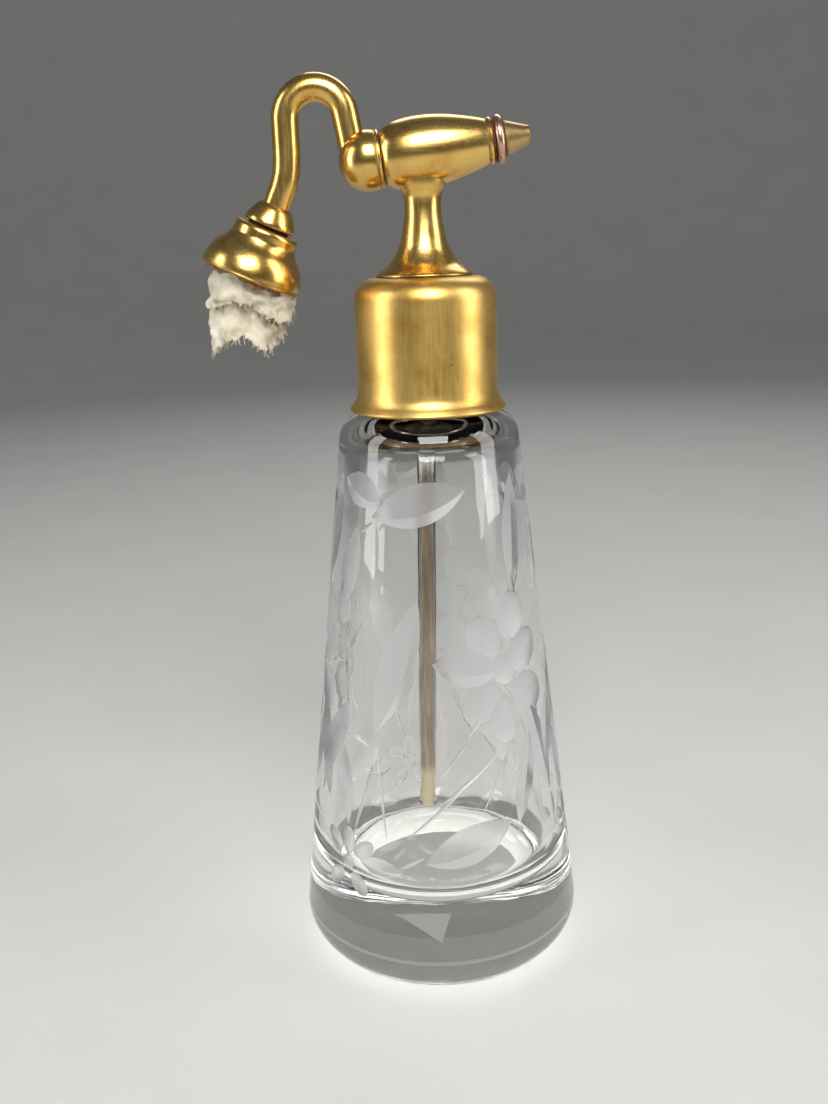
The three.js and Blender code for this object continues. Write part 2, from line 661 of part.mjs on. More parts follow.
function elbowBall() {
  const sphere = new THREE.SphereGeometry(BALL_RADIUS, HEAD_SIDES, BALL_RINGS).rotateX(Math.PI / 2);
  const flat = BARREL_REAR - CUT_GAP - BALL_CENTRE;
  const past = BALL_RADIUS + CUT_PAST;
  const front = rod(past, flat, past, SMALL_SIDES);
  const spigotHole = rod(SPIGOT_RADIUS + RUNNING_GAP, flat - SPIGOT_RADIUS, flat + CUT_PAST, SMALL_SIDES);
  const passage = rod(SPIGOT_BORE, 0, flat, FINE_SIDES);
  const tubeHole = rod(TUBE_RADIUS + RUNNING_GAP, tubeSeat(), past, SMALL_SIDES);
  const feed = rod(SPIGOT_BORE, -SPIGOT_BORE, tubeSeat() + CUT_PAST, FINE_SIDES);
  const link = rod(SPIGOT_BORE, -TUBE_OFFSET, 0, FINE_SIDES);
  const upright = (geometry) => geometry.rotateY(BARREL_TILT - Math.PI / 2);
  const leg = (geometry) => upright(geometry.rotateY(-LEG_LEAN).translate(-TUBE_OFFSET, 0, 0));
  const crossing = upright(link.rotateY(Math.PI / 2));
  return [front, spigotHole, passage, leg(tubeHole), leg(feed), crossing]
    .map(solid)
    .reduce((body, hole) => body.subtract(hole), solid(sphere));
}

// Distance up the leg, from level with the ball's centre, to the tube's seat in the ball.
function tubeSeat() {
  const aside = TUBE_OFFSET * Math.cos(LEG_LEAN);
  const surface = Math.sqrt(BALL_RADIUS ** 2 - aside ** 2) - TUBE_OFFSET * Math.sin(LEG_LEAN);
  return surface - TUBE_SOCKET_DEPTH;
}

function elbowSpigot() {
  const flat = BARREL_REAR - CUT_GAP;
  const low = flat - SPIGOT_RADIUS + SEAT_GAP;
  const flangeLow = BARREL_REAR + BARREL_SOCKET_DEPTH + CUT_GAP;
  const high = flangeLow + SPIGOT_FLANGE;
  return turnedRing(
    [
      [SPIGOT_BORE, low],
      [SPIGOT_RADIUS, low],
      [SPIGOT_RADIUS, flangeLow],
      [SPIGOT_FLANGE_RADIUS, flangeLow],
      [SPIGOT_FLANGE_RADIUS, high],
      [SPIGOT_BORE, high],
    ],
    SMALL_SIDES,
  );
}

// The tube's route: up out of the ball, over the arch, down the long leg and round the lower bend.
function gooseneckRoute() {
  const at = (x, z) => new THREE.Vector3(x, 0, z);
  const bend = (centreX, centreZ, radius, from, to, steps) =>
    Array.from({ length: steps + 1 }, (_, i) => {
      const angle = from + ((to - from) * i) / steps;
      return at(centreX + radius * Math.cos(angle), centreZ + radius * Math.sin(angle));
    });
  const seat = tubeSeat() + SEAT_GAP;
  const end = at(0, -TUBE_TAIL).applyMatrix4(bellFrame.matrix);
  const corners = [
    at(legX - seat * Math.sin(LEG_LEAN), ballCentre.z + seat * Math.cos(LEG_LEAN)),
    ...bend(archX, archZ, ARCH_RADIUS, LEG_LEAN, Math.PI, ARCH_STEPS),
    ...bend(longLegX - BEND_RADIUS, bendZ, BEND_RADIUS, 0, -BELL_TILT, BEND_STEPS),
    end,
  ];
  const route = new THREE.CurvePath();
  corners.slice(1).forEach((point, i) => route.add(new THREE.LineCurve3(corners[i], point)));
  return route;
}

function gooseneckTube() {
  const section = new THREE.Shape(circle(TUBE_RADIUS, FINE_SIDES));
  section.holes.push(new THREE.Path(circle(TUBE_BORE, FINE_SIDES)));
  return new THREE.ExtrudeGeometry(section, { steps: TUBE_STEPS, extrudePath: gooseneckRoute() });
}

// ---------------------------------------------------------------- bell end, down its own axis

function tubeFerrule() {
  const high = -TUBE_FERRULE_START;
  const low = -FERRULE_END;
  const nippleSeat = low + NIPPLE_SOCKET_DEPTH;
  const tubeSeat = -TUBE_TAIL - SEAT_GAP;
  const third = TUBE_FERRULE_LENGTH / 3;
  const dome = curve([
    [TUBE_FERRULE_RADIUS - TUBE_FERRULE_SWELL, low],
    [TUBE_FERRULE_RADIUS, low + third],
    [(TUBE_FERRULE_RADIUS + FERRULE_TOP_RADIUS) / 2 + TUBE_FERRULE_SWELL, high - third],
    [FERRULE_TOP_RADIUS, high],
  ]);
  return turnedRing(
    [
      [NIPPLE_RADIUS + RUNNING_GAP, low],
      ...dome,
      [TUBE_RADIUS + RUNNING_GAP, high],
      [TUBE_RADIUS + RUNNING_GAP, tubeSeat],
      [NIPPLE_BORE, tubeSeat],
      [NIPPLE_BORE, nippleSeat],
      [NIPPLE_RADIUS + RUNNING_GAP, nippleSeat],
    ],
    HEAD_SIDES,
  );
}

function bellNipple() {
  const high = -FERRULE_END + NIPPLE_SOCKET_DEPTH - SEAT_GAP;
  const low = -BELL_START - BELL_BAND_LENGTH + CUT_GAP;
  return ring(NIPPLE_BORE, NIPPLE_RADIUS, low, high, SMALL_SIDES);
}

function bellWasher() {
  const high = -FERRULE_END - SEAT_GAP;
  return ring(NIPPLE_RADIUS + RUNNING_GAP, BELL_WASHER_RADIUS, high - BELL_WASHER, high, SMALL_SIDES);
}

// The bell's outline below its band, moved out or in, from a given height down to its rim.
function bellMouth(offset, top) {
  const fullDrop = BELL_RIM - BELL_START - BELL_BAND_LENGTH;
  const fullSpread = BELL_RADIUS - BELL_BAND_RADIUS;
  return curve(
    BELL_OUTLINE.map(({ spread, drop }) => [
      BELL_BAND_RADIUS + spread * fullSpread + offset,
      -BELL_RIM + (1 - drop) * fullDrop,
    ]),
  ).filter(([, height]) => height < top);
}

function bulbBell() {
  const bore = NIPPLE_RADIUS + RUNNING_GAP;
  const roomTop = -BELL_START - BELL_BAND_LENGTH;
  const flangeLow = roomTop - BARB_FLANGE;
  return turnedRing(
    [
      [bore, -BELL_START],
      [BELL_BAND_RADIUS - BELL_WALL, -BELL_START],
      [BELL_BAND_RADIUS, -BELL_START - BELL_WALL],
      [BELL_BAND_RADIUS, roomTop],
      ...bellMouth(0, roomTop),
      ...bellMouth(-BELL_WALL, flangeLow).reverse(),
      [BARB_FLANGE_RADIUS + RUNNING_GAP, flangeLow],
      [BARB_FLANGE_RADIUS + RUNNING_GAP, roomTop],
      [bore, roomTop],
    ],
    HEAD_SIDES,
  );
}

function bulbBarb() {
  const high = -BELL_START - BELL_BAND_LENGTH - SEAT_GAP;
  const flangeLow = high - BARB_FLANGE;
  const low = high - BARB_LENGTH;
  return turnedRing(
    [
      [BARB_BORE, low],
      [BARB_RADIUS - BARB_POINT, low],
      [BARB_RADIUS, low + BARB_POINT_LENGTH],
      [BARB_RADIUS, flangeLow],
      [BARB_FLANGE_RADIUS, flangeLow],
      [BARB_FLANGE_RADIUS, high],
      [BARB_BORE, high],
    ],
    SMALL_SIDES,
  );
}

// The torn neck of the rubber bulb: a cup that lines the bell's mouth and hangs out past its rim.
function bulbNeckRubber() {
  const high = -BELL_START - BELL_BAND_LENGTH - BARB_FLANGE - RUBBER_WALL / 2;
  const low = -BELL_RIM - RUBBER_OVERHANG;
  const bore = BARB_RADIUS + CUT_GAP;
  const fit = -BELL_WALL - CUT_GAP;
  return turnedRing(
    [
      [bore, high],
      ...bellMouth(fit, high),
      [BELL_RADIUS + fit, low],
      [BELL_RADIUS + fit - RUBBER_WALL, low],
      ...bellMouth(fit - RUBBER_WALL, high - RUBBER_WALL).reverse(),
      [bore, high - RUBBER_WALL],
    ],
    HEAD_SIDES,
  );
}

// What is left of the bulb's cotton cover: it hangs straight down out of the rubber cup.
function bulbCoverRemnant() {
  const start = new THREE.Vector3(0, 0, -BELL_RIM).applyMatrix4(bellFrame.matrix);
  const knee = new THREE.Vector3(0, 0, -BELL_RIM - COTTON_KNEE).applyMatrix4(bellFrame.matrix);
  const end = new THREE.Vector3(knee.x, 0, COTTON_END_Z);
  const route = new THREE.QuadraticBezierCurve3(start, knee, end);
  const section = new THREE.Shape(circle(COTTON_RADIUS, COTTON_SIDES));
  return new THREE.ExtrudeGeometry(section, { steps: COTTON_STEPS, extrudePath: route });
}

// ---------------------------------------------------------------- the object

const pieces = [
  [atomiser, "bottle", bottle, GLASS],
  [atomiser, "neck_cement", neckCement, CEMENT],
  [atomiser, "neck_ferrule", neckFerrule, BRASS],
  [atomiser, "neck_washer", neckWasher, CORK],
  [atomiser, "collar_shell", collarShell, BRASS],
  [atomiser, "collar_liner", collarLiner, BRASS],
  [atomiser, "stem_locknut", stemLocknut, BRASS],
  [atomiser, "stem_column", stemColumn, BRASS],
  [atomiser, "riser_tube", riserTube, BRASS],
  [dipTubeFrame, "dip_tube_gland", dipTubeGland, RUBBER],
  [dipTubeFrame, "dip_tube", dipTube, STAINED_GLASS],
  [barrelFrame, "barrel_shell", barrelShell, BRASS],
  [barrelFrame, "swivel_socket", swivelSocket, BRASS],
  [barrelFrame, "jet_block", jetBlock, BRASS],
  [barrelFrame, "liquid_jet", liquidJet, BRASS],
  [barrelFrame, "nozzle_washer", nozzleWasher, FIBRE],
  [barrelFrame, "nozzle_collar", nozzleCollar, SILVERED],
  [barrelFrame, "nozzle_tip", nozzleTip, TARNISHED],
  [ballFrame, "elbow_ball", elbowBall, BRASS],
  [barrelFrame, "elbow_spigot", elbowSpigot, BRASS],
  [atomiser, "gooseneck_tube", gooseneckTube, BRASS],
  [bellFrame, "tube_ferrule", tubeFerrule, BRASS],
  [bellFrame, "bell_nipple", bellNipple, BRASS],
  [bellFrame, "bell_washer", bellWasher, FIBRE],
  [bellFrame, "bulb_bell", bulbBell, BRASS],
  [bellFrame, "bulb_barb", bulbBarb, BRASS],
  [bellFrame, "bulb_neck_rubber", bulbNeckRubber, RUBBER],
  [atomiser, "bulb_cover_remnant", bulbCoverRemnant, COTTON],
];

for (const [parent, name, make, look] of pieces) {
  const made = make();
  const body = made.isBufferGeometry ? solid(made) : made;
  addNode(parent, name, geometryOf(body), look);
}

export default atomiser;
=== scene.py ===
import json
import math
from random import Random

import bpy
from mathutils import Matrix, Vector, noise


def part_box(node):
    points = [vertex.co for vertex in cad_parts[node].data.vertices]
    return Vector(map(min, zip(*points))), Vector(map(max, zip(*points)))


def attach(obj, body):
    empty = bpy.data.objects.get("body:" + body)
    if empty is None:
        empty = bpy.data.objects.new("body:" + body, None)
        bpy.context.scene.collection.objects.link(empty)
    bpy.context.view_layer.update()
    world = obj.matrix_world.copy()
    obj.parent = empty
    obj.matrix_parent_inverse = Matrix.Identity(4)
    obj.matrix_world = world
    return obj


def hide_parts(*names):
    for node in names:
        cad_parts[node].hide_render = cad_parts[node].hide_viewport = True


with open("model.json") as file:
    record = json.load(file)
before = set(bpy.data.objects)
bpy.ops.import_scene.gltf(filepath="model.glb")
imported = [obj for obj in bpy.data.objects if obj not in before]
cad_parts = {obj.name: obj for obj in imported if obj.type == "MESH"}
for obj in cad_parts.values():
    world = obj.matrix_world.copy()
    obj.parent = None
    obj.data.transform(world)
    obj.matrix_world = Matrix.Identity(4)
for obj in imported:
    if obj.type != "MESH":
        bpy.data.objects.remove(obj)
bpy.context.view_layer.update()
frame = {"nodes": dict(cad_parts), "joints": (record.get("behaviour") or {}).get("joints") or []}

bl_info = {
    "name": "Perfume Atomiser",
    "version": (1, 0, 0),
    "blender": (4, 5, 0),
    "location": "View3D > Sidebar > Atomiser",
    "description": "Cut glass scent bottle with a gilt brass spray head, gooseneck and bulb bell",
    "category": "Object",
}

MM = 0.001
TURN_STEPS = 96  # facets round a turned brass piece
GLASS_STEPS = 192  # facets round the bottle
WELD = 1e-6  # corners nearer than this are one, in metres
GLASS_IOR = 1.52  # soda-lime glass


def joint(name):
    """A joint of the frame, by its name."""
    return next(j for j in frame["joints"] if j["name"] == name)


def axis_frame(name, turn):
    """The frame of a turned group: origin on a joint's axis, turned about Y so that Z runs along it."""
    return Matrix.Translation(Vector(joint(name)["pos_m"])) @ Matrix.Rotation(turn, 4, "Y")


BARREL_AXIS = Vector(joint("gooseneck_swivel")["axis"])
BARREL = axis_frame("gooseneck_swivel", math.atan2(BARREL_AXIS.x, BARREL_AXIS.z))
BELL_AXIS = -Vector(joint("bell_turn")["axis"])
BELL = axis_frame("bell_turn", math.atan2(BELL_AXIS.x, BELL_AXIS.z))
COLLAR_LOW, COLLAR_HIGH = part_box("collar_shell")
BOTTLE_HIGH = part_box("bottle")[1]
TIP_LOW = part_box("dip_tube")[0]

# ---------------------------------------------------------------- sizes and colours


def length(name, note, millimetres):
    """A length that a user can change, given in millimetres."""
    return bpy.props.FloatProperty(
        name=name, description=note, default=millimetres * MM, min=0, unit="LENGTH", precision=5)


def tone(name, note, code):
    """A colour that a user can change, given as sRGB hex."""
    return bpy.props.FloatVectorProperty(
        name=name, description=note, default=linear(code)[:3], min=0, max=1, size=3, subtype="COLOR")


def linear(code):
    """The linear colour, with alpha 1, of an sRGB hex code such as D9A441."""
    parts = [int(code[i:i + 2], 16) / 255 for i in (0, 2, 4)]
    return tuple(p / 12.92 if p <= 0.04045 else ((p + 0.055) / 1.055) ** 2.4 for p in parts) + (1.0,)


class AtomiserBottleSizes(bpy.types.PropertyGroup):
    """The glass bottle and the tube that hangs in it."""
    shoulder: length("Shoulder height", "Base to the top of the glass shoulder", 103)
    base_radius: length("Base radius", "The side's straight line carried down to the base", 27.35)
    taper: bpy.props.FloatProperty(
        name="Taper", description="Radius lost for each unit of height", default=0.115, min=0, max=0.5)
    wall: length("Glass wall", "Thickness of the bottle's side", 4)
    floor: length("Glass floor", "Thickness of solid glass under the scent", 15.5)
    cut_depth: length("Cut depth", "Deepest place of a wheel-cut leaf", 0.6)
    sprays: bpy.props.IntProperty(
        name="Sprays", description="How often the cut spray repeats round the bottle", default=3, min=1, max=3)
    tube_radius: length("Dip tube radius", "Outside of the glass tube", 1.65)
    glass: tone("Glass", "Colour that the clear glass gives to light", "FAFAF9")
    residue: tone("Residue", "Colour of the dried scent in the tube", "7D6C57")


class AtomiserHeadSizes(bpy.types.PropertyGroup):
    """The gilt brass head."""
    collar_flare: length("Collar flare", "How far the collar's rim stands out", 1.5)
    collar_shoulder: length("Collar shoulder", "Radius of the collar's upper edge", 3.75)
    skirt_radius: length("Skirt radius", "Foot of the stem", 8.3)
    waist_radius: length("Waist radius", "Narrowest place of the stem", 3.05)
    barrel_radius: length("Barrel radius", "Widest place of the barrel", 5.8)
    bead_radius: length("Bead radius", "The nozzle's round bead", 4.0)
    gilt: tone("Gilt", "The gilt brass where it is clean", "DFB969")
    patina: tone("Patina", "Brown patina in specks and grooves", "5A3D1C")
    silvered: tone("Worn bead", "The bead where the gilt has worn away", "C9A48C")


class AtomiserBulbSizes(bpy.types.PropertyGroup):
    """The gooseneck, the bell and what is left of the bulb."""
    tube_radius: length("Gooseneck radius", "Outside of the bent tube", 2.3)
    arch_radius: length("Arch radius", "Centreline of the upper bend", 5.07)
    bend_radius: length("Lower bend radius", "Centreline of the lower bend", 14.3)
    ball_radius: length("Ball radius", "The swivelling ball behind the barrel", 4.95)
    bell_radius: length("Bell radius", "Rim of the bell", 8.7)
    cloth_radius: length("Cover radius", "The torn cover where it leaves the bell", 6.8)
    cotton: tone("Cotton", "The torn cover's cotton", "CFC5AE")
    rubber: tone("Rubber", "Perished rubber at the bell's mouth", "A1764F")


class AtomiserStudioLook(bpy.types.PropertyGroup):
    """Floor, light and camera."""
    floor: tone("Floor", "The pale floor", "C6C5C2")
    key: bpy.props.FloatProperty(
        name="Key light", description="Strength of the soft key", default=4.0, min=0, unit="POWER")


# ---------------------------------------------------------------- modelling helpers


def clear_selection():
    """Deselects everything, so that an operator acts on the new piece alone."""
    if bpy.context.object and bpy.context.object.mode != "OBJECT":
        bpy.ops.object.mode_set(mode="OBJECT")
    bpy.ops.object.select_all(action="DESELECT")


def pick(piece):
    """Makes one piece the active and only selected one."""
    clear_selection()
    piece.select_set(True)
    bpy.context.view_layer.objects.active = piece


def arc(centre, height, radius, start, end, steps=10):
    """Points of a rounded profile, in millimetres and degrees."""
    turns = [math.radians(start + (end - start) * i / steps) for i in range(steps + 1)]
    return [(centre + radius * math.cos(a), height + radius * math.sin(a)) for a in turns]


def through(points, steps=6):
    """A smooth profile through the points."""
    ends = [points[0], *points, points[-1]]
    out = []
    for a, b, c, d in zip(ends, ends[1:], ends[2:], ends[3:]):
        for i in range(steps):
            t = i / steps
            out.append(tuple(
                0.5 * (2 * q + (r - p) * t + (2 * p - 5 * q + 4 * r - s) * t * t
                       + (3 * q - p - 3 * r + s) * t ** 3)
                for p, q, r, s in zip(a, b, c, d)))
    return out + [points[-1]]


def straight(start, end, steps):
    """Points along a straight profile, without its ends."""
    return [tuple(a + (b - a) * i / steps for a, b in zip(start, end)) for i in range(1, steps)]


def offset(profile, by):
    """A profile moved in or out from the axis."""
    return [(radius + by, height) for radius, height in profile]


def edit(piece, mode="VERT"):
    """Opens one piece in edit mode, picking corners, edges or faces."""
    pick(piece)
    bpy.ops.object.mode_set(mode="EDIT")
    bpy.ops.mesh.select_mode(type=mode)


def begin(name):
    """One corner at the origin, ready in edit mode to be drawn out into a profile."""
    clear_selection()
    bpy.ops.mesh.primitive_plane_add(size=MM)
    piece = bpy.context.object
    piece.name = piece.data.name = name
    edit(piece)
    bpy.ops.mesh.select_all(action="SELECT")
    bpy.ops.mesh.merge(type="CENTER")
    return piece


def extrude(by):
    """Draws out what is selected."""
    bpy.ops.mesh.extrude_region_move(TRANSFORM_OT_translate={"value": by})


def draw(profile):
    """Extrudes the corner through a profile of (radius, height) points in millimetres."""
    points = [Vector((radius * MM, 0, height * MM)) for radius, height in profile]
    bpy.ops.transform.translate(value=points[0])
    for a, b in zip(points, points[1:]):
        extrude(b - a)


def weld():
    """Joins doubled corners and turns all faces outwards."""
    bpy.ops.mesh.select_all(action="SELECT")
    bpy.ops.mesh.remove_doubles(threshold=WELD)
    bpy.ops.mesh.normals_make_consistent(inside=False)
    bpy.ops.object.mode_set(mode="OBJECT")


def turned(name, outline, place=None, steps=TURN_STEPS, crease=28):
    """A piece turned on a lathe from a closed outline, then set in its place."""
    piece = begin(name)
    draw([*outline, outline[0]] if outline[0][0] > 0 or outline[-1][0] > 0 else outline)
    bpy.ops.mesh.select_all(action="SELECT")
    bpy.ops.mesh.remove_doubles(threshold=WELD)
    bpy.ops.mesh.spin(steps=steps, angle=2 * math.pi, center=(0, 0, 0), axis=(0, 0, 1))
    weld()
    if place is not None:
        settle(piece, place)
    smooth(piece, crease)
    return piece


def settle(piece, place):
    """Puts the place of a piece into its mesh."""
    pick(piece)
    piece.matrix_world = place
    bpy.ops.object.transform_apply(location=True, rotation=True, scale=True)


def smooth(piece, crease):
    """Smooth shading, with edges sharper than the crease left crisp."""
    pick(piece)
    bpy.ops.object.shade_smooth_by_angle(angle=math.radians(crease))


def rod(name, radius, low, high, place):
    """A round cutter along the Z of a frame, in millimetres."""
    clear_selection()
    bpy.ops.mesh.primitive_cylinder_add(
        vertices=48, radius=radius * MM, depth=(high - low) * MM, location=(0, 0, (high + low) / 2 * MM))
    cutter = bpy.context.object
    cutter.name = name
    bpy.ops.object.transform_apply(location=True, rotation=True, scale=True)
    settle(cutter, place)
    return cutter


def modify(piece, kind, **settings):
    """Adds a modifier with its settings and applies it."""
    pick(piece)
    bpy.ops.object.modifier_add(type=kind)
    modifier = piece.modifiers[-1]
    for key, value in settings.items():
        setattr(modifier, key, value)
    bpy.ops.object.modifier_apply(modifier=modifier.name)


def cut(piece, cutter):
    """Cuts the cutter's shape out of the piece and removes the cutter."""
    modify(piece, "BOOLEAN", operation="DIFFERENCE", solver="MANIFOLD", object=cutter)
    bpy.data.objects.remove(cutter)


def deliver(piece, body, nodes, slot, *finishes):
    """Gives a finished piece its finishes and its body, and hides the frame nodes that it stands for."""
    piece.data.materials.clear()
    for finish in finishes:
        piece.data.materials.append(finish)
    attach(piece, body)
    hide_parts(*nodes)


# ---------------------------------------------------------------- materials


def new_material(name):
    """An empty node material, its tree, and the place of a point on the piece."""
    old = bpy.data.materials.get(name)
    if old:
        bpy.data.materials.remove(old)
    material = bpy.data.materials.new(name)
    material.use_nodes = True
    tree = material.node_tree
    tree.nodes.clear()
    return material, tree, add(tree, "ShaderNodeTexCoord").outputs["Object"]


def surfaced(material, tree, surface):
    """The material, with the surface linked to its output."""
    add(tree, "ShaderNodeOutputMaterial", {"Surface": surface})
    return material


def add(tree, kind, values=None, **settings):
    """Adds a node, with its settings, and its inputs given as values or as sockets to link."""
    node = tree.nodes.new(kind)
    for key, value in settings.items():
        setattr(node, key, value)
    for key, value in (values or {}).items():
        if isinstance(value, bpy.types.NodeSocket):
            tree.links.new(value, node.inputs[key])
        else:
            node.inputs[key].default_value = value
    return node


def per(millimetres):
    """The pattern scale at which one feature is this many millimetres across."""
    return 1 / (millimetres * MM)


def noisy(tree, place, size, detail, roughness=0.5):
    """Noise whose features are this many millimetres across."""
    return add(tree, "ShaderNodeTexNoise", {
        "Vector": place, "Scale": per(size), "Detail": detail, "Roughness": roughness}).outputs["Fac"]


def warped(tree, place, size, reach):
    """The place shifted about by noise; size and reach are in millimetres."""
    warp = add(tree, "ShaderNodeTexNoise", {"Vector": place, "Scale": per(size), "Detail": 2.0})
    shift = add(tree, "ShaderNodeVectorMath", {
        0: warp.outputs["Color"], 1: (reach * MM,) * 3}, operation="MULTIPLY")
    return add(tree, "ShaderNodeVectorMath", {0: place, 1: shift.outputs[0]}, operation="ADD").outputs[0]


def dotted(tree, place, size, edge):
    """Round dots, one in each cell of this size in millimetres, and a random number for each cell."""
    cells = add(tree, "ShaderNodeTexVoronoi", {"Vector": place, "Scale": per(size)})
    chance = add(tree, "ShaderNodeSeparateColor", {"Color": cells.outputs["Color"]})
    return ranged(tree, cells.outputs["Distance"], edge, (1.0, 0.0)), chance.outputs[0]


def ranged(tree, value, source, target):
    """A value carried over from one range to another."""
    return add(tree, "ShaderNodeMapRange", {
        "Value": value, "From Min": source[0], "From Max": source[1],
        "To Min": target[0], "To Max": target[1]}).outputs[0]


def worked(tree, operation, *values):
    """The result of a sum."""
    return add(tree, "ShaderNodeMath", dict(enumerate(values)), operation=operation).outputs[0]


def ramped(tree, value, stops):
    """The colour of a value, from (position, colour) stops."""
    node = add(tree, "ShaderNodeValToRGB", {"Fac": value})
    ramp = node.color_ramp
    while len(ramp.elements) < len(stops):
        ramp.elements.new(1)
    for element, (position, colour) in zip(ramp.elements, stops):
        element.position, element.color = position, colour
    return node.outputs["Color"]


def bumped(tree, height, strength, distance):
    """The normals of a small relief."""
    return add(tree, "ShaderNodeBump", {
        "Height": height, "Strength": strength, "Distance": distance}).outputs[0]


def blended(tree, share, first, second):
    """Two shaders mixed, with this share of the second."""
    return add(tree, "ShaderNodeMixShader", {0: share, 1: first.outputs[0], 2: second.outputs[0]})


def gilt_brass(name, gilt, patina, seams=(), specks=0.5, rough=0.3, brush=None):
    """Gilt brass with a satin, lathe-turned finish: soft broad highlights, brown patina held in seams and specks.

    seams are (axis, distance along it, reach), all in metres: the patina lies in a band there.
    brush is the axis along which fine rubbing marks run.
    """
    material, tree, place = new_material(name)
    # the gilding wears thin in clouds about 6 mm across
    cloud = noisy(tree, place, 6, 4.0, 0.6)
    clean = ramped(tree, cloud, [
        (0.32, tuple(c * s for c, s in zip(gilt, (0.80, 0.72, 0.60))) + (1,)),
        (0.52, (*gilt, 1)),
        (0.72, tuple(min(1, c * s) for c, s in zip(gilt, (1.06, 1.08, 1.16))) + (1,))])
    # patina specks are 0.2 to 0.5 mm, in one cell out of some, thicker in some areas
    dot, chance = dotted(tree, warped(tree, place, 0.5, 0.5), 2.2, (0.05, 0.17))
    area = noisy(tree, place, 11, 1.0)
    odds = worked(tree, "MULTIPLY", chance, area)
    rare = ranged(tree, odds, (0.52 - 0.12 * specks, 0.62 - 0.12 * specks), (0.0, 1.0))
    stain = worked(tree, "MULTIPLY", dot, rare)
    ragged = noisy(tree, place, 0.9, 5.0, 0.7)
    for axis, distance, reach in seams:
        along = add(tree, "ShaderNodeVectorMath", {0: place, 1: axis}, operation="DOT_PRODUCT")
        gap = worked(tree, "SUBTRACT", along.outputs["Value"], distance)
        near = worked(tree, "ABSOLUTE", gap)
        band = ranged(tree, near, (0.0, reach), (1.35, 0.0))
        held = worked(tree, "MULTIPLY", band, ragged)
        stain = worked(tree, "MAXIMUM", stain, held)
    stain = worked(tree, "MINIMUM", stain, 0.85)
    colour = add(tree, "ShaderNodeMix", {"Factor": stain, 6: clean, 7: (*patina, 1)}, data_type="RGBA")
    # the satin grain is 0.05 mm on the real metal, drawn at 0.12 mm so that it shows
    grain = noisy(tree, place, 0.12, 3.0)
    marks = place
    if brush is not None:
        # rubbing marks: the same grain, drawn out along the piece
        stretch = add(tree, "ShaderNodeMapping", {
            "Vector": place, "Scale": tuple(1 - 0.96 * abs(b) for b in brush)})
        marks = stretch.outputs[0]
    rubbed = noisy(tree, marks, 0.3, 4.0, 0.65)
    even = ranged(tree, rubbed, (0.3, 0.7), (rough - 0.04, rough + 0.05))
    dull = worked(tree, "MULTIPLY_ADD", stain, 0.3, even)
    relief = worked(tree, "MULTIPLY_ADD", grain, 0.4, rubbed)
    bump = bumped(tree, relief, 0.02, 0.0001)
    shader = add(tree, "ShaderNodeBsdfPrincipled", {
        "Base Color": colour.outputs[2], "Metallic": 1.0, "Roughness": dull, "Normal": bump})
    return surfaced(material, tree, shader.outputs[0])


def clear_glass(colour):
    """Blown and polished soda-lime glass: quite clear, a little wavy, with specks of dust."""
    material, tree, place = new_material("clear_glass")
    # blown glass waves gently, some 9 mm from crest to crest
    wave = noisy(tree, place, 9, 1.0)
    bump = bumped(tree, wave, 0.12, 0.001)
    # dust specks of 0.1 mm, drawn at 0.16 mm so that they show
    dot, chance = dotted(tree, place, 1.6, (0.03, 0.07))
    rare = worked(tree, "GREATER_THAN", chance, 0.9)
    speck = worked(tree, "MULTIPLY", dot, rare)
    glass = add(tree, "ShaderNodeBsdfPrincipled", {
        "Base Color": (*colour, 1), "Roughness": 0.015, "IOR": GLASS_IOR, "Transmission Weight": 1.0,
        "Normal": bump})
    dust = add(tree, "ShaderNodeBsdfDiffuse", {"Color": linear("E8E6E0")})
    both = blended(tree, speck, glass, dust)
    return surfaced(material, tree, let_light_through(tree, both, "F1F1F0"))


def let_light_through(tree, shader, code):
    """Lets most light pass through glass to what it shades, so that its shadow is pale."""
    passing = add(tree, "ShaderNodeBsdfTransparent", {"Color": linear(code)})
    ray = add(tree, "ShaderNodeLightPath")
    return blended(tree, ray.outputs["Is Shadow Ray"], shader, passing).outputs[0]


def ground_glass():
    """Glass cut by a wheel and left unpolished: grey and misty, with the wheel's grain."""
    material, tree, place = new_material("ground_glass")
    # 180 grit leaves marks of about 0.08 mm, drawn at 0.15 mm
    grain = noisy(tree, place, 0.15, 4.0, 0.7)
    misty = ranged(tree, grain, (0.0, 1.0), (0.2, 0.42))
    bump = bumped(tree, grain, 0.2, 0.0001)
    glass = add(tree, "ShaderNodeBsdfPrincipled", {
        "Base Color": linear("E4E6E6"), "Roughness": misty, "IOR": GLASS_IOR, "Transmission Weight": 1.0,
        "Normal": bump})
    chalk = add(tree, "ShaderNodeBsdfDiffuse", {"Color": linear("DADCDC"), "Normal": bump})
    both = blended(tree, 0.17, glass, chalk)
    return surfaced(material, tree, let_light_through(tree, both, "DCDCDB"))


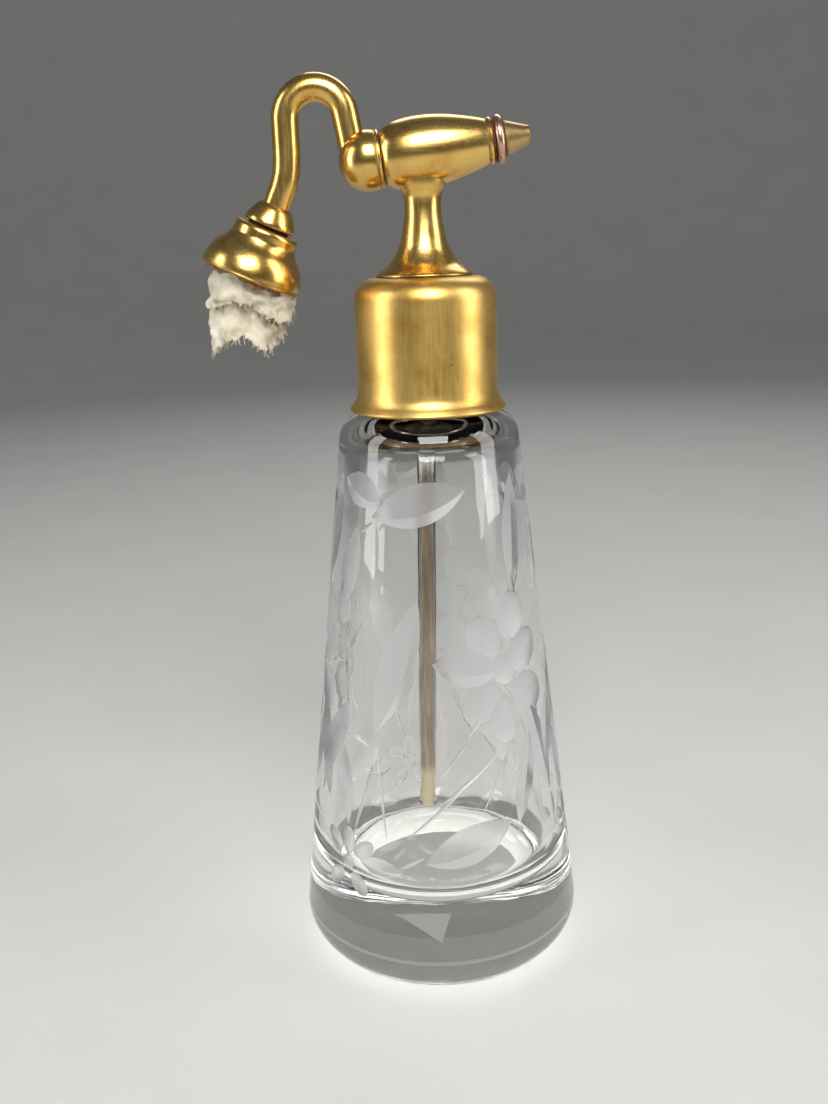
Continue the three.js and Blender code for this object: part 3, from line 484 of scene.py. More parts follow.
def residue(colour, clear_from, clear_to):
    """Scent dried to a brown film on the bore of a glass tube: opaque low down, gone near the top, with its lowest
    8 mm painted paler as a painted reflection of the glow from the bottle's base.
    """
    material, tree, place = new_material("dried_scent")
    height = add(tree, "ShaderNodeSeparateXYZ", {"Vector": place}).outputs["Z"]
    # runs and streaks lie along the tube, 0.5 mm wide and several millimetres long
    stretch = add(tree, "ShaderNodeMapping", {"Vector": place, "Scale": (1.0, 1.0, 0.08)})
    streak = noisy(tree, stretch.outputs[0], 0.5, 3.0)
    tones = ramped(tree, streak, [
        (0.3, tuple(0.6 * c for c in colour) + (1,)), (0.55, (*colour, 1)), (0.75, linear("A3947C"))])
    # painted reflection: the last 8 mm are painted paler, standing in for the glow of the bottle's base seen in
    # the tube
    foot = ranged(tree, height, (TIP_LOW.z + 0.007, TIP_LOW.z + 0.009), (1.0, 0.0))
    film_and_painted_glow = add(tree, "ShaderNodeMix", {"Factor": foot, 6: tones, 7: linear("B3A683")},
               data_type="RGBA")
    ragged = worked(tree, "MULTIPLY_ADD", streak, 0.006, height)
    cover = ranged(tree, ragged, (clear_from, clear_to), (0.92, 0.03))
    paint = add(tree, "ShaderNodeBsdfPrincipled", {"Base Color": film_and_painted_glow.outputs[2], "Roughness": 0.4})
    gap = add(tree, "ShaderNodeBsdfTransparent")
    both = blended(tree, cover, gap, paint)
    return surfaced(material, tree, both.outputs[0])


def dry_stuff(name, light, dark, grain, rough=0.85, strength=0.5, sheen=0.0):
    """A dull material with a grain in two tones, such as plaster, cork, fibre or perished rubber."""
    material, tree, place = new_material(name)
    blotch = noisy(tree, place, grain, 6.0, 0.7)
    tones = ramped(tree, blotch, [(0.35, dark), (0.62, light)])
    bump = bumped(tree, blotch, strength, grain * MM / 4)
    shader = add(tree, "ShaderNodeBsdfPrincipled", {
        "Base Color": tones, "Roughness": rough, "Sheen Weight": sheen, "Normal": bump})
    return surfaced(material, tree, shader.outputs[0])


def cotton_cloth(colour):
    """Loose cotton stockinette gone old and matted: cream, dull and soft, with a knit of 0.5 mm."""
    material, tree, place = new_material("matted_cotton")
    soil = noisy(tree, place, 4.5, 5.0, 0.65)
    tones = ramped(tree, soil, [
        (0.32, linear("A3957B")), (0.5, (*colour, 1)), (0.75, linear("DFD8C6"))])
    knit = add(tree, "ShaderNodeTexWave", {
        "Vector": warped(tree, place, 1.5, 0.9), "Scale": per(0.5) / 6.28, "Distortion": 3.0, "Detail": 2.0},
        bands_direction="DIAGONAL")
    fuzz = noisy(tree, place, 0.18, 5.0, 0.75)
    relief = worked(tree, "MULTIPLY_ADD", knit.outputs["Fac"], 0.5, fuzz)
    bump = bumped(tree, relief, 0.55, 0.0002)
    shader = add(tree, "ShaderNodeBsdfPrincipled", {
        "Base Color": tones, "Roughness": 0.95, "Sheen Weight": 0.35, "Sheen Roughness": 0.6,
        "Subsurface Weight": 0.12, "Subsurface Scale": 0.0008, "Normal": bump})
    return surfaced(material, tree, shader.outputs[0])


def seam(axis, place, along, reach):
    """A seam of gilt_brass, this far along the axis from a frame's origin."""
    return tuple(axis), axis.dot(place.translation) + along, reach


def brass_of(look, name, **more):
    """Gilt brass in the user's colours."""
    return gilt_brass(name, tuple(look.gilt), tuple(look.patina), **more)


def tarnished_brass(look, name):
    """Bare brass gone dull: darker, greyer and rougher than the gilding."""
    return gilt_brass(name, linear("A58A5C")[:3], tuple(look.patina), specks=1.5, rough=0.42)


# ---------------------------------------------------------------- the bottle


class ATOMISER_OT_bottle(bpy.types.Operator):
    """Turns the glass bottle and cuts its sprays of leaves and flowers."""
    bl_idname = "atomiser.bottle"
    bl_label = "Bottle"

    # One spray: kind, degrees round from the front, height, length, width, degrees up from level (mm).
    SPRAY = [
        ("leaf", -7.7, 89.5, 17.6, 7.2, 16),
        ("leaf", -19.5, 61.5, 26.0, 6.4, 72),
        ("leaf", 17.0, 61.6, 13.5, 7.4, -8),
        ("leaf", 13.3, 29.8, 18.0, 7.0, 20),
        ("leaf", -26.0, 25.0, 9.0, 3.4, -4),
        ("leaf", -44.5, 91.5, 9.5, 6.0, -22),
        ("leaf", -51.0, 78.0, 15.0, 5.0, 78),
        ("leaf", 50.0, 84.0, 20.0, 4.6, 82),
        ("leaf", -55.0, 46.0, 19.0, 6.0, 66),
        ("leaf", 55.0, 44.0, 20.0, 5.5, 104),
        ("leaf", 43.0, 40.0, 18.0, 4.6, 74),
        ("leaf", -47.0, 39.0, 16.0, 4.0, 100),
        ("petal", 43.0, 69.2, 8.6, 6.8, 80),
        ("petal", 49.5, 62.4, 8.8, 7.2, 30),
        ("petal", 50.5, 54.6, 8.6, 7.4, -25),
        ("petal", 34.0, 51.2, 8.4, 6.8, -80),
        ("petal", 22.5, 54.9, 8.2, 6.6, 210),
        ("petal", 25.5, 66.3, 8.4, 6.6, 135),
        ("disc", 36.5, 60.0, 5.4, 5.4, 0),
        ("petal", -43.0, 28.2, 5.2, 3.2, 90),
        ("petal", -34.5, 27.4, 5.0, 3.0, 35),
        ("petal", -51.5, 27.4, 5.0, 3.0, 145),
        ("petal", -36.5, 20.6, 5.0, 3.0, -45),
        ("petal", -49.5, 20.6, 5.0, 3.0, 225),
        ("disc", -43.0, 24.1, 2.8, 2.8, 0),
        ("stalk", -39.2, 85.2, 3.8, 0.7, 38),
        ("stalk", 7.9, 45.6, 9.4, 0.7, 50),
        ("stalk", 20.5, 51.9, 8.0, 0.7, 50),
        ("stalk", -12.0, 26.6, 5.8, 0.8, 30),
        ("stalk", -34.5, 38.0, 23.5, 0.8, 74),
        ("stalk", -26.5, 40.0, 20.5, 0.6, 98),
        ("stalk", 13.0, 41.0, 15.0, 0.7, 36),
        ("stalk", 2.0, 37.0, 19.0, 0.6, 42),
        ("stalk", 30.0, 42.5, 17.0, 0.8, 60),
        ("stalk", -49.5, 60.0, 19.0, 0.8, 97),
        ("stalk", 47.0, 74.5, 9.0, 0.7, 95),
    ]

    def cutter(self, sizes, kind, degrees, height, long, wide, turn):
        """A wheel cut as a solid that lies on the bottle's side, half in the glass."""
        clear_selection()
        bpy.ops.mesh.primitive_uv_sphere_add(segments=12, ring_count=24 if kind != "disc" else 12, radius=1)
        solid = bpy.context.object
        solid.name = "wheel_cut"
        depth = {"leaf": 1.0, "petal": 0.75, "disc": 0.6, "stalk": 0.42}[kind] * sizes.cut_depth / MM
        valley = -0.5 if kind == "leaf" else 0.0
        turn, across = math.radians(turn), math.radians(degrees)
        radius = (sizes.base_radius - sizes.taper * height * MM) / MM
        for corner in solid.data.vertices:
            along, ring = corner.co.z, math.hypot(corner.co.x, corner.co.y)
            side, down = (corner.co.x / ring, corner.co.y / ring) if ring > 1e-5 else (0, 0)
            swell = ring if kind in ("petal", "disc") else 1 - along * along
            hollow = (1 - side * side) if kind in ("petal", "disc") else min(
                (1 - side) / (1 - valley), (1 + side) / (1 + valley))
            out = swell * (0.9 * (1 - side * side) if down > 0 else -depth * hollow)
            x, z = along * long / 2, side * wide / 2 * swell
            arc_x, rise = x * math.cos(turn) - z * math.sin(turn), x * math.sin(turn) + z * math.cos(turn)
            angle, level = across + arc_x / radius, height + rise
            reach = (sizes.base_radius / MM - sizes.taper * level) + out + 0.01
            corner.co = Vector((reach * math.sin(angle), -reach * math.cos(angle), level)) * MM
        return solid

    def execute(self, context):
        sizes = context.scene.atomiser_bottle
        shoulder, base, taper = sizes.shoulder / MM, sizes.base_radius / MM, sizes.taper
        wall, floor = sizes.wall / MM, sizes.floor / MM
        tilt = math.atan(taper)
        slope = math.degrees(tilt)

        def outside(height):
            """Radius of the side."""
            return base - taper * height

        def inside(height):
            """Radius of the room."""
            return outside(height) - wall / math.cos(tilt)

        def side_arc(side, height, radius):
            """How far from the axis a round that meets the side has its centre."""
            return side(height + radius * math.sin(tilt)) - radius * math.cos(tilt)

        heel, round_shoulder, fillet, inner_round = 7.6, 5.0, 7.0, 4.0
        neck, bore, edge = 8.6, 6.6, 0.6
        top = BOTTLE_HIGH.z / MM
        ceiling = shoulder - wall
        low = arc(side_arc(outside, heel, heel), heel, heel, -90, slope, 18)
        high = arc(side_arc(outside, shoulder - round_shoulder, round_shoulder), shoulder - round_shoulder,
                   round_shoulder, slope, 90, 16)
        room_high = arc(side_arc(inside, ceiling - inner_round, inner_round), ceiling - inner_round, inner_round,
                        90, slope, 14)
        room_low = arc(side_arc(inside, floor + fillet, fillet), floor + fillet, fillet, slope, -90, 16)
        bottle = turned("cut_glass_bottle", [
            (0, 0), *straight((0, 0), low[0], 4), *low, *straight(low[-1], high[0], 26), *high,
            (neck + edge, shoulder), (neck + 0.15, shoulder + 0.15), (neck, shoulder + edge), (neck, top - edge),
            *arc(neck - edge, top - edge, edge, 0, 90, 4)[1:], *arc(bore + edge, top - edge, edge, 90, 180, 4),
            (bore, ceiling + edge), (bore + edge, ceiling), *room_high, *straight(room_high[-1], room_low[0], 12),
            *room_low, *straight(room_low[-1], (0, floor), 3), (0, floor)], steps=GLASS_STEPS, crease=11)
        for kind, *where in self.SPRAY:
            degrees, rest = where[0], where[1:]
            clear_selection()
            cuts = [self.cutter(sizes, kind, degrees + 360 / sizes.sprays * i, *rest) for i in range(sizes.sprays)]
            pick(cuts[0])
            for other in cuts[1:]:
                other.select_set(True)
            if len(cuts) > 1:
                bpy.ops.object.join()
            cut(bottle, cuts[0])
        deliver(bottle, "bottle", ["bottle"], "clear_glass", clear_glass(tuple(sizes.glass)), ground_glass())
        for face in bottle.data.polygons:
            centre = face.center / MM
            depth = outside(centre.z) - math.hypot(centre.x, centre.y)
            face.material_index = int(heel < centre.z < shoulder - round_shoulder and 0.012 < depth < wall / 2)
            face.select = face.material_index == 1
        edit(bottle, "FACE")
        bpy.ops.mesh.region_to_loop()
        bpy.ops.mesh.mark_sharp()
        bpy.ops.object.mode_set(mode="OBJECT")
        return {"FINISHED"}


class ATOMISER_OT_dip_tube(bpy.types.Operator):
    """Draws the glass dip tube, with scent dried on its bore."""
    bl_idname = "atomiser.dip_tube"
    bl_label = "Dip tube"

    def execute(self, context):
        sizes = context.scene.atomiser_bottle
        radius, bore = sizes.tube_radius / MM, 0.9
        low, high = (v / MM for v in (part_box("dip_tube")[0].z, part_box("dip_tube")[1].z))
        lean = math.radians(1.3)
        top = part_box("stem_column")[0].z
        place = Matrix.Translation((0, 0, top)) @ Matrix.Rotation(lean, 4, "Y")
        foot, head = (low - top / MM) / math.cos(lean), (high - top / MM) / math.cos(lean)
        tube = turned("scent_tube", [
            (bore - 0.3, foot + 0.1), *arc(radius - 0.62, foot + 0.7, 0.62, -90, 0, 6), (radius, foot + 1.4),
            (radius, head - 0.3), (radius - 0.2, head), (bore + 0.2, head), (bore, head - 0.3),
            (bore, foot + 2.0), (bore - 0.1, foot + 1.0)], place, steps=48, crease=40)
        deliver(tube, "head", ["dip_tube"], "stained_glass", clear_glass_tube(tuple(sizes.glass)),
                residue(tuple(sizes.residue), 0.0925, 0.0965))
        axis = place.inverted()
        for face in tube.data.polygons:
            at = axis @ face.center
            face.material_index = int(math.hypot(at.x, at.y) < (bore + 0.08) * MM and at.z < head * MM - 0.0005)
        return {"FINISHED"}


def clear_glass_tube(colour):
    """Drawn glass tube: clear and straight, a little wavy along its length."""
    material, tree, place = new_material("drawn_glass")
    wave = noisy(tree, place, 5, 1.0)
    bump = bumped(tree, wave, 0.1, 0.0005)
    shader = add(tree, "ShaderNodeBsdfPrincipled", {
        "Base Color": (*colour, 1), "Roughness": 0.04, "IOR": 1.5, "Transmission Weight": 1.0, "Normal": bump})
    return surfaced(material, tree, let_light_through(tree, shader, "F1F1F0"))


# ---------------------------------------------------------------- collar, stem and barrel


class ATOMISER_OT_collar(bpy.types.Operator):
    """Spins the brass collar, with its flared rim and rounded shoulder."""
    bl_idname = "atomiser.collar"
    bl_label = "Collar"

    def execute(self, context):
        sizes = context.scene.atomiser_head
        low, top = COLLAR_LOW.z / MM, COLLAR_HIGH.z / MM
        rim = (COLLAR_HIGH.x - COLLAR_LOW.x) / 2 / MM
        flare, shoulder, wall = sizes.collar_flare / MM, sizes.collar_shoulder / MM, 0.7
        side, roll, hole = rim - flare, 0.36, 3.5
        cove = through([(rim - 0.06, low + 0.55), (rim - 0.42, low + 1.05), (rim - 0.92, low + 1.7),
                        (rim - 1.32, low + 2.6), (side, low + 3.9)], 5)
        collar = turned("collar", [
            (rim - wall - 0.1, low + 0.1), (rim - roll, low),
            *arc(rim - roll, low + roll, roll, -70, 10, 6), *cove,
            *arc(side - shoulder, top - shoulder, shoulder, 0, 90, 14), (hole, top), (hole, top - wall),
            *arc(side - shoulder, top - shoulder, shoulder - wall, 90, 0, 10), (side - wall, low + 3.9),
            *reversed(offset(cove[2:-2], -wall))])
        deliver(collar, "head", ["collar_shell"], "gilt_brass", brass_of(
            sizes, "satin_gilt_collar", specks=1.2, rough=0.37, brush=(0, 0, 1),
            seams=[((0, 0, 1), COLLAR_HIGH.z, 0.00045), ((0, 0, 1), COLLAR_LOW.z, 0.0005)]))
        return {"FINISHED"}


BARREL_OUTLINE = [(4.35, -6.42), (5.05, -5.35), (5.55, -3.6), (5.8, -1.2), (5.76, 1.4), (5.45, 4.0), (4.82, 7.0),
                  (4.02, 9.9), (3.62, 11.05)]


class ATOMISER_OT_stem(bpy.types.Operator):
    """Turns the waisted stem and fits its saddle under the barrel."""
    bl_idname = "atomiser.stem"
    bl_label = "Stem"

    def execute(self, context):
        sizes = context.scene.atomiser_head
        seat = COLLAR_HIGH.z / MM + 0.05
        skirt, waist, bore = sizes.skirt_radius / MM, sizes.waist_radius / MM, 1.6
        tail, tail_low, tail_bore = 3.4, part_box("stem_column")[0].z / MM, 2.6
        line = through([
            (skirt, seat + 0.12), (skirt - 0.05, seat + 0.4), (skirt - 0.65, seat + 0.95),
            (waist + 2.85, seat + 2.35), (waist + 1.25, seat + 4.9), (waist + 0.42, seat + 8.2),
            (waist + 0.06, seat + 10.8), (waist + 0.1, seat + 12.4), (waist + 0.32, seat + 13.5),
            (waist + 0.75, seat + 14.4), (waist + 1.1, seat + 15.3), (waist + 1.2, seat + 17)], 7)
        stem = turned("stem", [
            (tail_bore, tail_low), (tail, tail_low), (tail, seat), (skirt - 0.1, seat), *line,
            (bore, seat + 17), (bore, seat - 1.5), (tail_bore, seat - 1.5)])
        room = through(BARREL_OUTLINE, 6)
        body = turned("barrel_room", [(0, room[0][1] - 3), (room[0][0], room[0][1] - 3), *room,
                                      (room[-1][0], 14), (0, 14)], BARREL)
        cut(stem, body)
        smooth(stem, 32)
        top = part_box("stem_column")[1].z
        deliver(stem, "head", ["stem_column"], "gilt_brass", brass_of(
            sizes, "satin_gilt_stem", specks=0.3, rough=0.25, brush=(0, 0, 1),
            seams=[((0, 0, 1), COLLAR_HIGH.z, 0.0005), ((0, 0, 1), top, 0.0012)]))
        return {"FINISHED"}


class ATOMISER_OT_barrel(bpy.types.Operator):
    """Turns the cigar-shaped barrel that holds the jet."""
    bl_idname = "atomiser.barrel"
    bl_label = "Barrel"

    def execute(self, context):
        sizes = context.scene.atomiser_head
        swell = sizes.barrel_radius / MM / 5.8
        outside = [(radius * swell, s) for radius, s in through(BARREL_OUTLINE, 8)]
        room = [(radius - 0.8, s) for radius, s in outside if -4.2 < s < 8.6]
        barrel = turned("barrel", [
            (3.3, -6.5), (4.15, -6.5), *outside, (3.66, 11.25),
            (3.78, 11.4), (3.84, 11.62), (3.78, 11.84), (3.6, 12.0), (2.35, 12.0), (2.35, 8.6), *reversed(room),
            (3.3, -4.2)], BARREL)
        cut(barrel, rod("stem_hole", 1.6, -9, 0, Matrix.Translation(BARREL.translation)))
        smooth(barrel, 28)
        deliver(barrel, "head", ["barrel_shell"], "gilt_brass", brass_of(
            sizes, "satin_gilt_barrel", specks=0.2, rough=0.24, brush=tuple(BARREL_AXIS),
            seams=[seam(BARREL_AXIS, BARREL, -0.0065, 0.0004), seam(BARREL_AXIS, BARREL, 0.0112, 0.0003)]))
        return {"FINISHED"}


class ATOMISER_OT_nozzle(bpy.types.Operator):
    """Turns the fibre washer, the bead and the cone of the nozzle."""
    bl_idname = "atomiser.nozzle"
    bl_label = "Nozzle"

    def execute(self, context):
        sizes = context.scene.atomiser_head
        bead, spigot, bore = sizes.bead_radius / MM, 2.25, 1.0
        washer = turned("nozzle_gasket", [
            (2.35, 12.05), (3.3, 12.05), (3.42, 12.12), (3.42, 12.28), (3.3, 12.35), (2.35, 12.35)],
            BARREL, crease=50)
        deliver(washer, "nozzle_seal", ["nozzle_washer"], "red_fibre",
                dry_stuff("red_fibre", linear("7A3F28"), linear("45200F"), 0.4))
        collar = turned("nozzle_bead", [
            (bore, 9.4), (spigot, 9.4), (spigot, 12.4), (3.1, 12.4), *arc(bead - 0.72, 13.12, 0.72, -80, 80, 10),
            (3.05, 13.9), (2.95, 13.95), (bore, 13.95)], BARREL)
        deliver(collar, "nozzle", ["nozzle_collar"], "worn_brass", gilt_brass(
            "worn_pink_brass", tuple(sizes.silvered), tuple(sizes.patina), specks=0.9, rough=0.27,
            seams=[seam(BARREL_AXIS, BARREL, 0.0124, 0.0005), seam(BARREL_AXIS, BARREL, 0.01395, 0.0004)]))
        tip = turned("nozzle_cone", [
            (bore, 14.0), (2.86, 14.0), (2.92, 14.1), *straight((2.92, 14.1), (1.56, 17.9), 6), (1.52, 18.05),
            *arc(1.27, 18.05, 0.25, 20, 90, 4), (0.55, 18.3), (0.35, 18.12), (0.35, 17.6), (bore, 16.8)], BARREL)
        deliver(tip, "nozzle", ["nozzle_tip"], "tarnished_brass", gilt_brass(
            "tarnished_cone", linear("B89C68")[:3], tuple(sizes.patina), specks=1.6, rough=0.33,
            brush=tuple(BARREL_AXIS),
            seams=[seam(BARREL_AXIS, BARREL, 0.014, 0.0006), seam(BARREL_AXIS, BARREL, 0.0183, 0.0005)]))
        return {"FINISHED"}


# ---------------------------------------------------------------- gooseneck


class ATOMISER_OT_gooseneck(bpy.types.Operator):
    """Turns the ball and its ferrule, and bends the gooseneck tube by spinning its end round each bend."""
    bl_idname = "atomiser.gooseneck"
    bl_label = "Gooseneck"

    def execute(self, context):
        head, sizes = context.scene.atomiser_head, context.scene.atomiser_bulb
        ball, tube, wall = sizes.ball_radius / MM, sizes.tube_radius / MM, 0.6
        centre_s, lip_s, lip = -9.0, -6.96, ball - 0.2
        end = math.degrees(math.asin((lip_s - 0.35 - centre_s) / ball))
        sphere = turned("elbow_knob", [
            (0, centre_s - ball), *arc(0, centre_s, ball, -90, end, 34)[1:],
            *arc(lip - 0.3, lip_s, 0.3, -65, 80, 8),
            (1.95, lip_s + 0.3), (1.95, -8.65), (0, -8.65)], BARREL, crease=50)
        ball_centre = BARREL @ Vector((0, 0, centre_s * MM))
        # the short leg leans back on its way up; its socket is 2 mm deep in the ball
        lean, aside, rise = math.radians(10), 2.2, 6.7
        seat = math.sqrt(ball ** 2 - (aside * math.cos(lean)) ** 2) - aside * math.sin(lean) - 2
        foot = ball_centre - Vector((aside * MM, 0, 0))
        leg = Matrix.Translation(foot) @ Matrix.Rotation(-lean, 4, "Y")
        cut(sphere, rod("tube_socket", tube + 0.03, seat, seat + 8, leg))
        smooth(sphere, 50)
        deliver(sphere, "gooseneck", ["elbow_ball"], "gilt_brass", brass_of(
            head, "satin_gilt_knob", specks=0.3, rough=0.22,
            seams=[seam(BARREL_AXIS, BARREL, -0.0074, 0.0003)]))

        arch, bend = sizes.arch_radius, sizes.bend_radius
        arch_x = foot.x - arch / math.cos(lean) - rise * MM * math.tan(lean)
        arch_z = foot.z + rise * MM
        tilt = math.atan2(BELL_AXIS.x, BELL_AXIS.z)
        clear_selection()
        bpy.ops.mesh.primitive_circle_add(vertices=40, radius=tube * MM, location=(0, 0, (seat + 0.05) * MM))
        neck = bpy.context.object
        neck.name = neck.data.name = "bent_tube"
        bpy.ops.object.transform_apply(location=True, rotation=True, scale=True)
        settle(neck, leg)
        edit(neck)
        bpy.ops.mesh.select_all(action="SELECT")
        reach = (rise * MM + arch * math.sin(lean)) / math.cos(lean) - (seat + 0.05) * MM
        up = leg.to_3x3() @ Vector((0, 0, 1))
        for _ in range(3):
            extrude(up * reach / 3)
        bpy.ops.mesh.spin(steps=40, angle=math.pi - lean, center=(arch_x, 0, arch_z), axis=(0, 1, 0))
        drop = arch_z - (BELL.translation.z + bend * math.sin(tilt))
        for _ in range(4):
            extrude((0, 0, -drop / 4))
        long_x = arch_x - arch
        bpy.ops.mesh.spin(steps=12, angle=-tilt, center=(long_x - bend, 0, arch_z - drop), axis=(0, 1, 0))
        extrude(-BELL_AXIS * 0.0038)
        weld()
        modify(neck, "SOLIDIFY", thickness=wall * MM, offset=-1, use_even_offset=True)
        smooth(neck, 40)
        deliver(neck, "gooseneck", ["gooseneck_tube"], "gilt_brass", brass_of(
            head, "satin_gilt_tube", specks=0.35, rough=0.25, brush=(0, 0, 1)))

        top = tube + 0.45
        dome = through([(4.24, -5.82), (4.37, -5.6), (4.3, -5.05), (3.98, -4.3), (3.58, -3.5), (3.2, -2.85),
                        (top + 0.08, -2.45), (top - 0.08, -2.28)], 6)
        ferrule = turned("tube_boss", [
            (2.9, -5.78), (3.6, -5.82), *dome, (tube + 0.08, -2.25), (tube + 0.08, -3.95),
            (1.4, -3.95), (1.4, -4.55), (2.9, -4.55)], BELL)
        deliver(ferrule, "gooseneck", ["tube_ferrule"], "gilt_brass", brass_of(
            head, "satin_gilt_boss", specks=0.3, rough=0.24,
            seams=[seam(BELL_AXIS, BELL, -0.0058, 0.0004), seam(BELL_AXIS, BELL, -0.0022, 0.0003)]))
        gasket = turned("bell_gasket", [
            (2.9, -6.25), (3.4, -6.25), (3.52, -6.15), (3.52, -5.9), (3.4, -5.8), (2.9, -5.8)], BELL, crease=50)
        deliver(gasket, "bulb_seal", ["bell_washer"], "red_fibre",
                dry_stuff("dark_fibre", linear("5E3420"), linear("2E1A10"), 0.4))
        return {"FINISHED"}


# ---------------------------------------------------------------- bell and what is left of the bulb


class ATOMISER_OT_bell(bpy.types.Operator):
    """Turns the bell and the torn rubber neck that it still holds."""
    bl_idname = "atomiser.bell"
    bl_label = "Bell"

    def execute(self, context):
        head, sizes = context.scene.atomiser_head, context.scene.atomiser_bulb
        rim, wall, low = sizes.bell_radius / MM, 0.6, -14.9
        mouth = through([
            (4.75, low + 8.6), (5.25, low + 8.45), (5.52, low + 8.0), (5.58, low + 7.3), (5.62, low + 6.75),
            (5.8, low + 6.25), (6.35, low + 5.4), (7.25, low + 4.4), (8.1, low + 3.0), (8.56, low + 1.5),
            (rim - 0.06, low + 0.45)], 5)
        inside = [(radius - wall, z) for radius, z in mouth if low + 0.4 < z < low + 5.9]
        bell = turned("bulb_bell_cup", [
            (2.9, low + 8.6), *mouth, (rim, low + 0.28), (rim - 0.03, low + 0.1), (rim - 0.16, low),
            (rim - 0.4, low), (rim - 0.55, low + 0.12), *reversed(inside), (4.7, low + 5.6), (4.7, low + 6.3),
            (2.9, low + 6.3)], BELL)
        deliver(bell, "bulb_holder", ["bulb_bell"], "gilt_brass", brass_of(
            head, "satin_gilt_bell", specks=0.8, rough=0.24,
            seams=[seam(BELL_AXIS, BELL, -0.0149, 0.0009), seam(BELL_AXIS, BELL, -0.0063, 0.0004)]))

        cup = turned("torn_rubber_neck", [
            (2.55, low + 4.9), (4.2, low + 4.9), *through([(5.4, low + 4.4), (6.7, low + 2.8), (7.5, low + 1.2),
            (7.8, low - 0.1), (7.75, low - 1.1)], 5), (7.3, low - 1.3), (6.75, low - 1.2),
            *through([(6.5, low + 0.2), (6.1, low + 1.6), (5.0, low + 3.0), (3.9, low + 3.6)], 5),
            (2.55, low + 3.6)],
            steps=128)
        # the torn edge: the lowest rings are pulled up and down as the rubber gave way
        for corner in cup.data.vertices:
            depth = low * MM + 0.0004 - corner.co.z
            if depth > 0:
                turn = math.atan2(corner.co.y, corner.co.x)
                at = Vector((math.cos(turn), math.sin(turn), 0))
                tear = noise.noise(at * 2.1) * 0.55 + noise.noise(at * 7.0) * 0.35 + noise.noise(at * 19.0) * 0.2
                corner.co.z += depth * max(-0.1, min(0.8, 0.35 + tear))
                corner.co.xy *= 1 - 0.03 * max(0, noise.noise(at * 5.0 + Vector((4, 0, 0))))
        settle(cup, BELL)
        smooth(cup, 60)
        deliver(cup, "bulb_holder", ["bulb_neck_rubber"], "rubber", dry_stuff(
            "perished_rubber", (*sizes.rubber, 1), linear("5B3A2A"), 0.9, rough=0.75, strength=0.8))
        return {"FINISHED"}


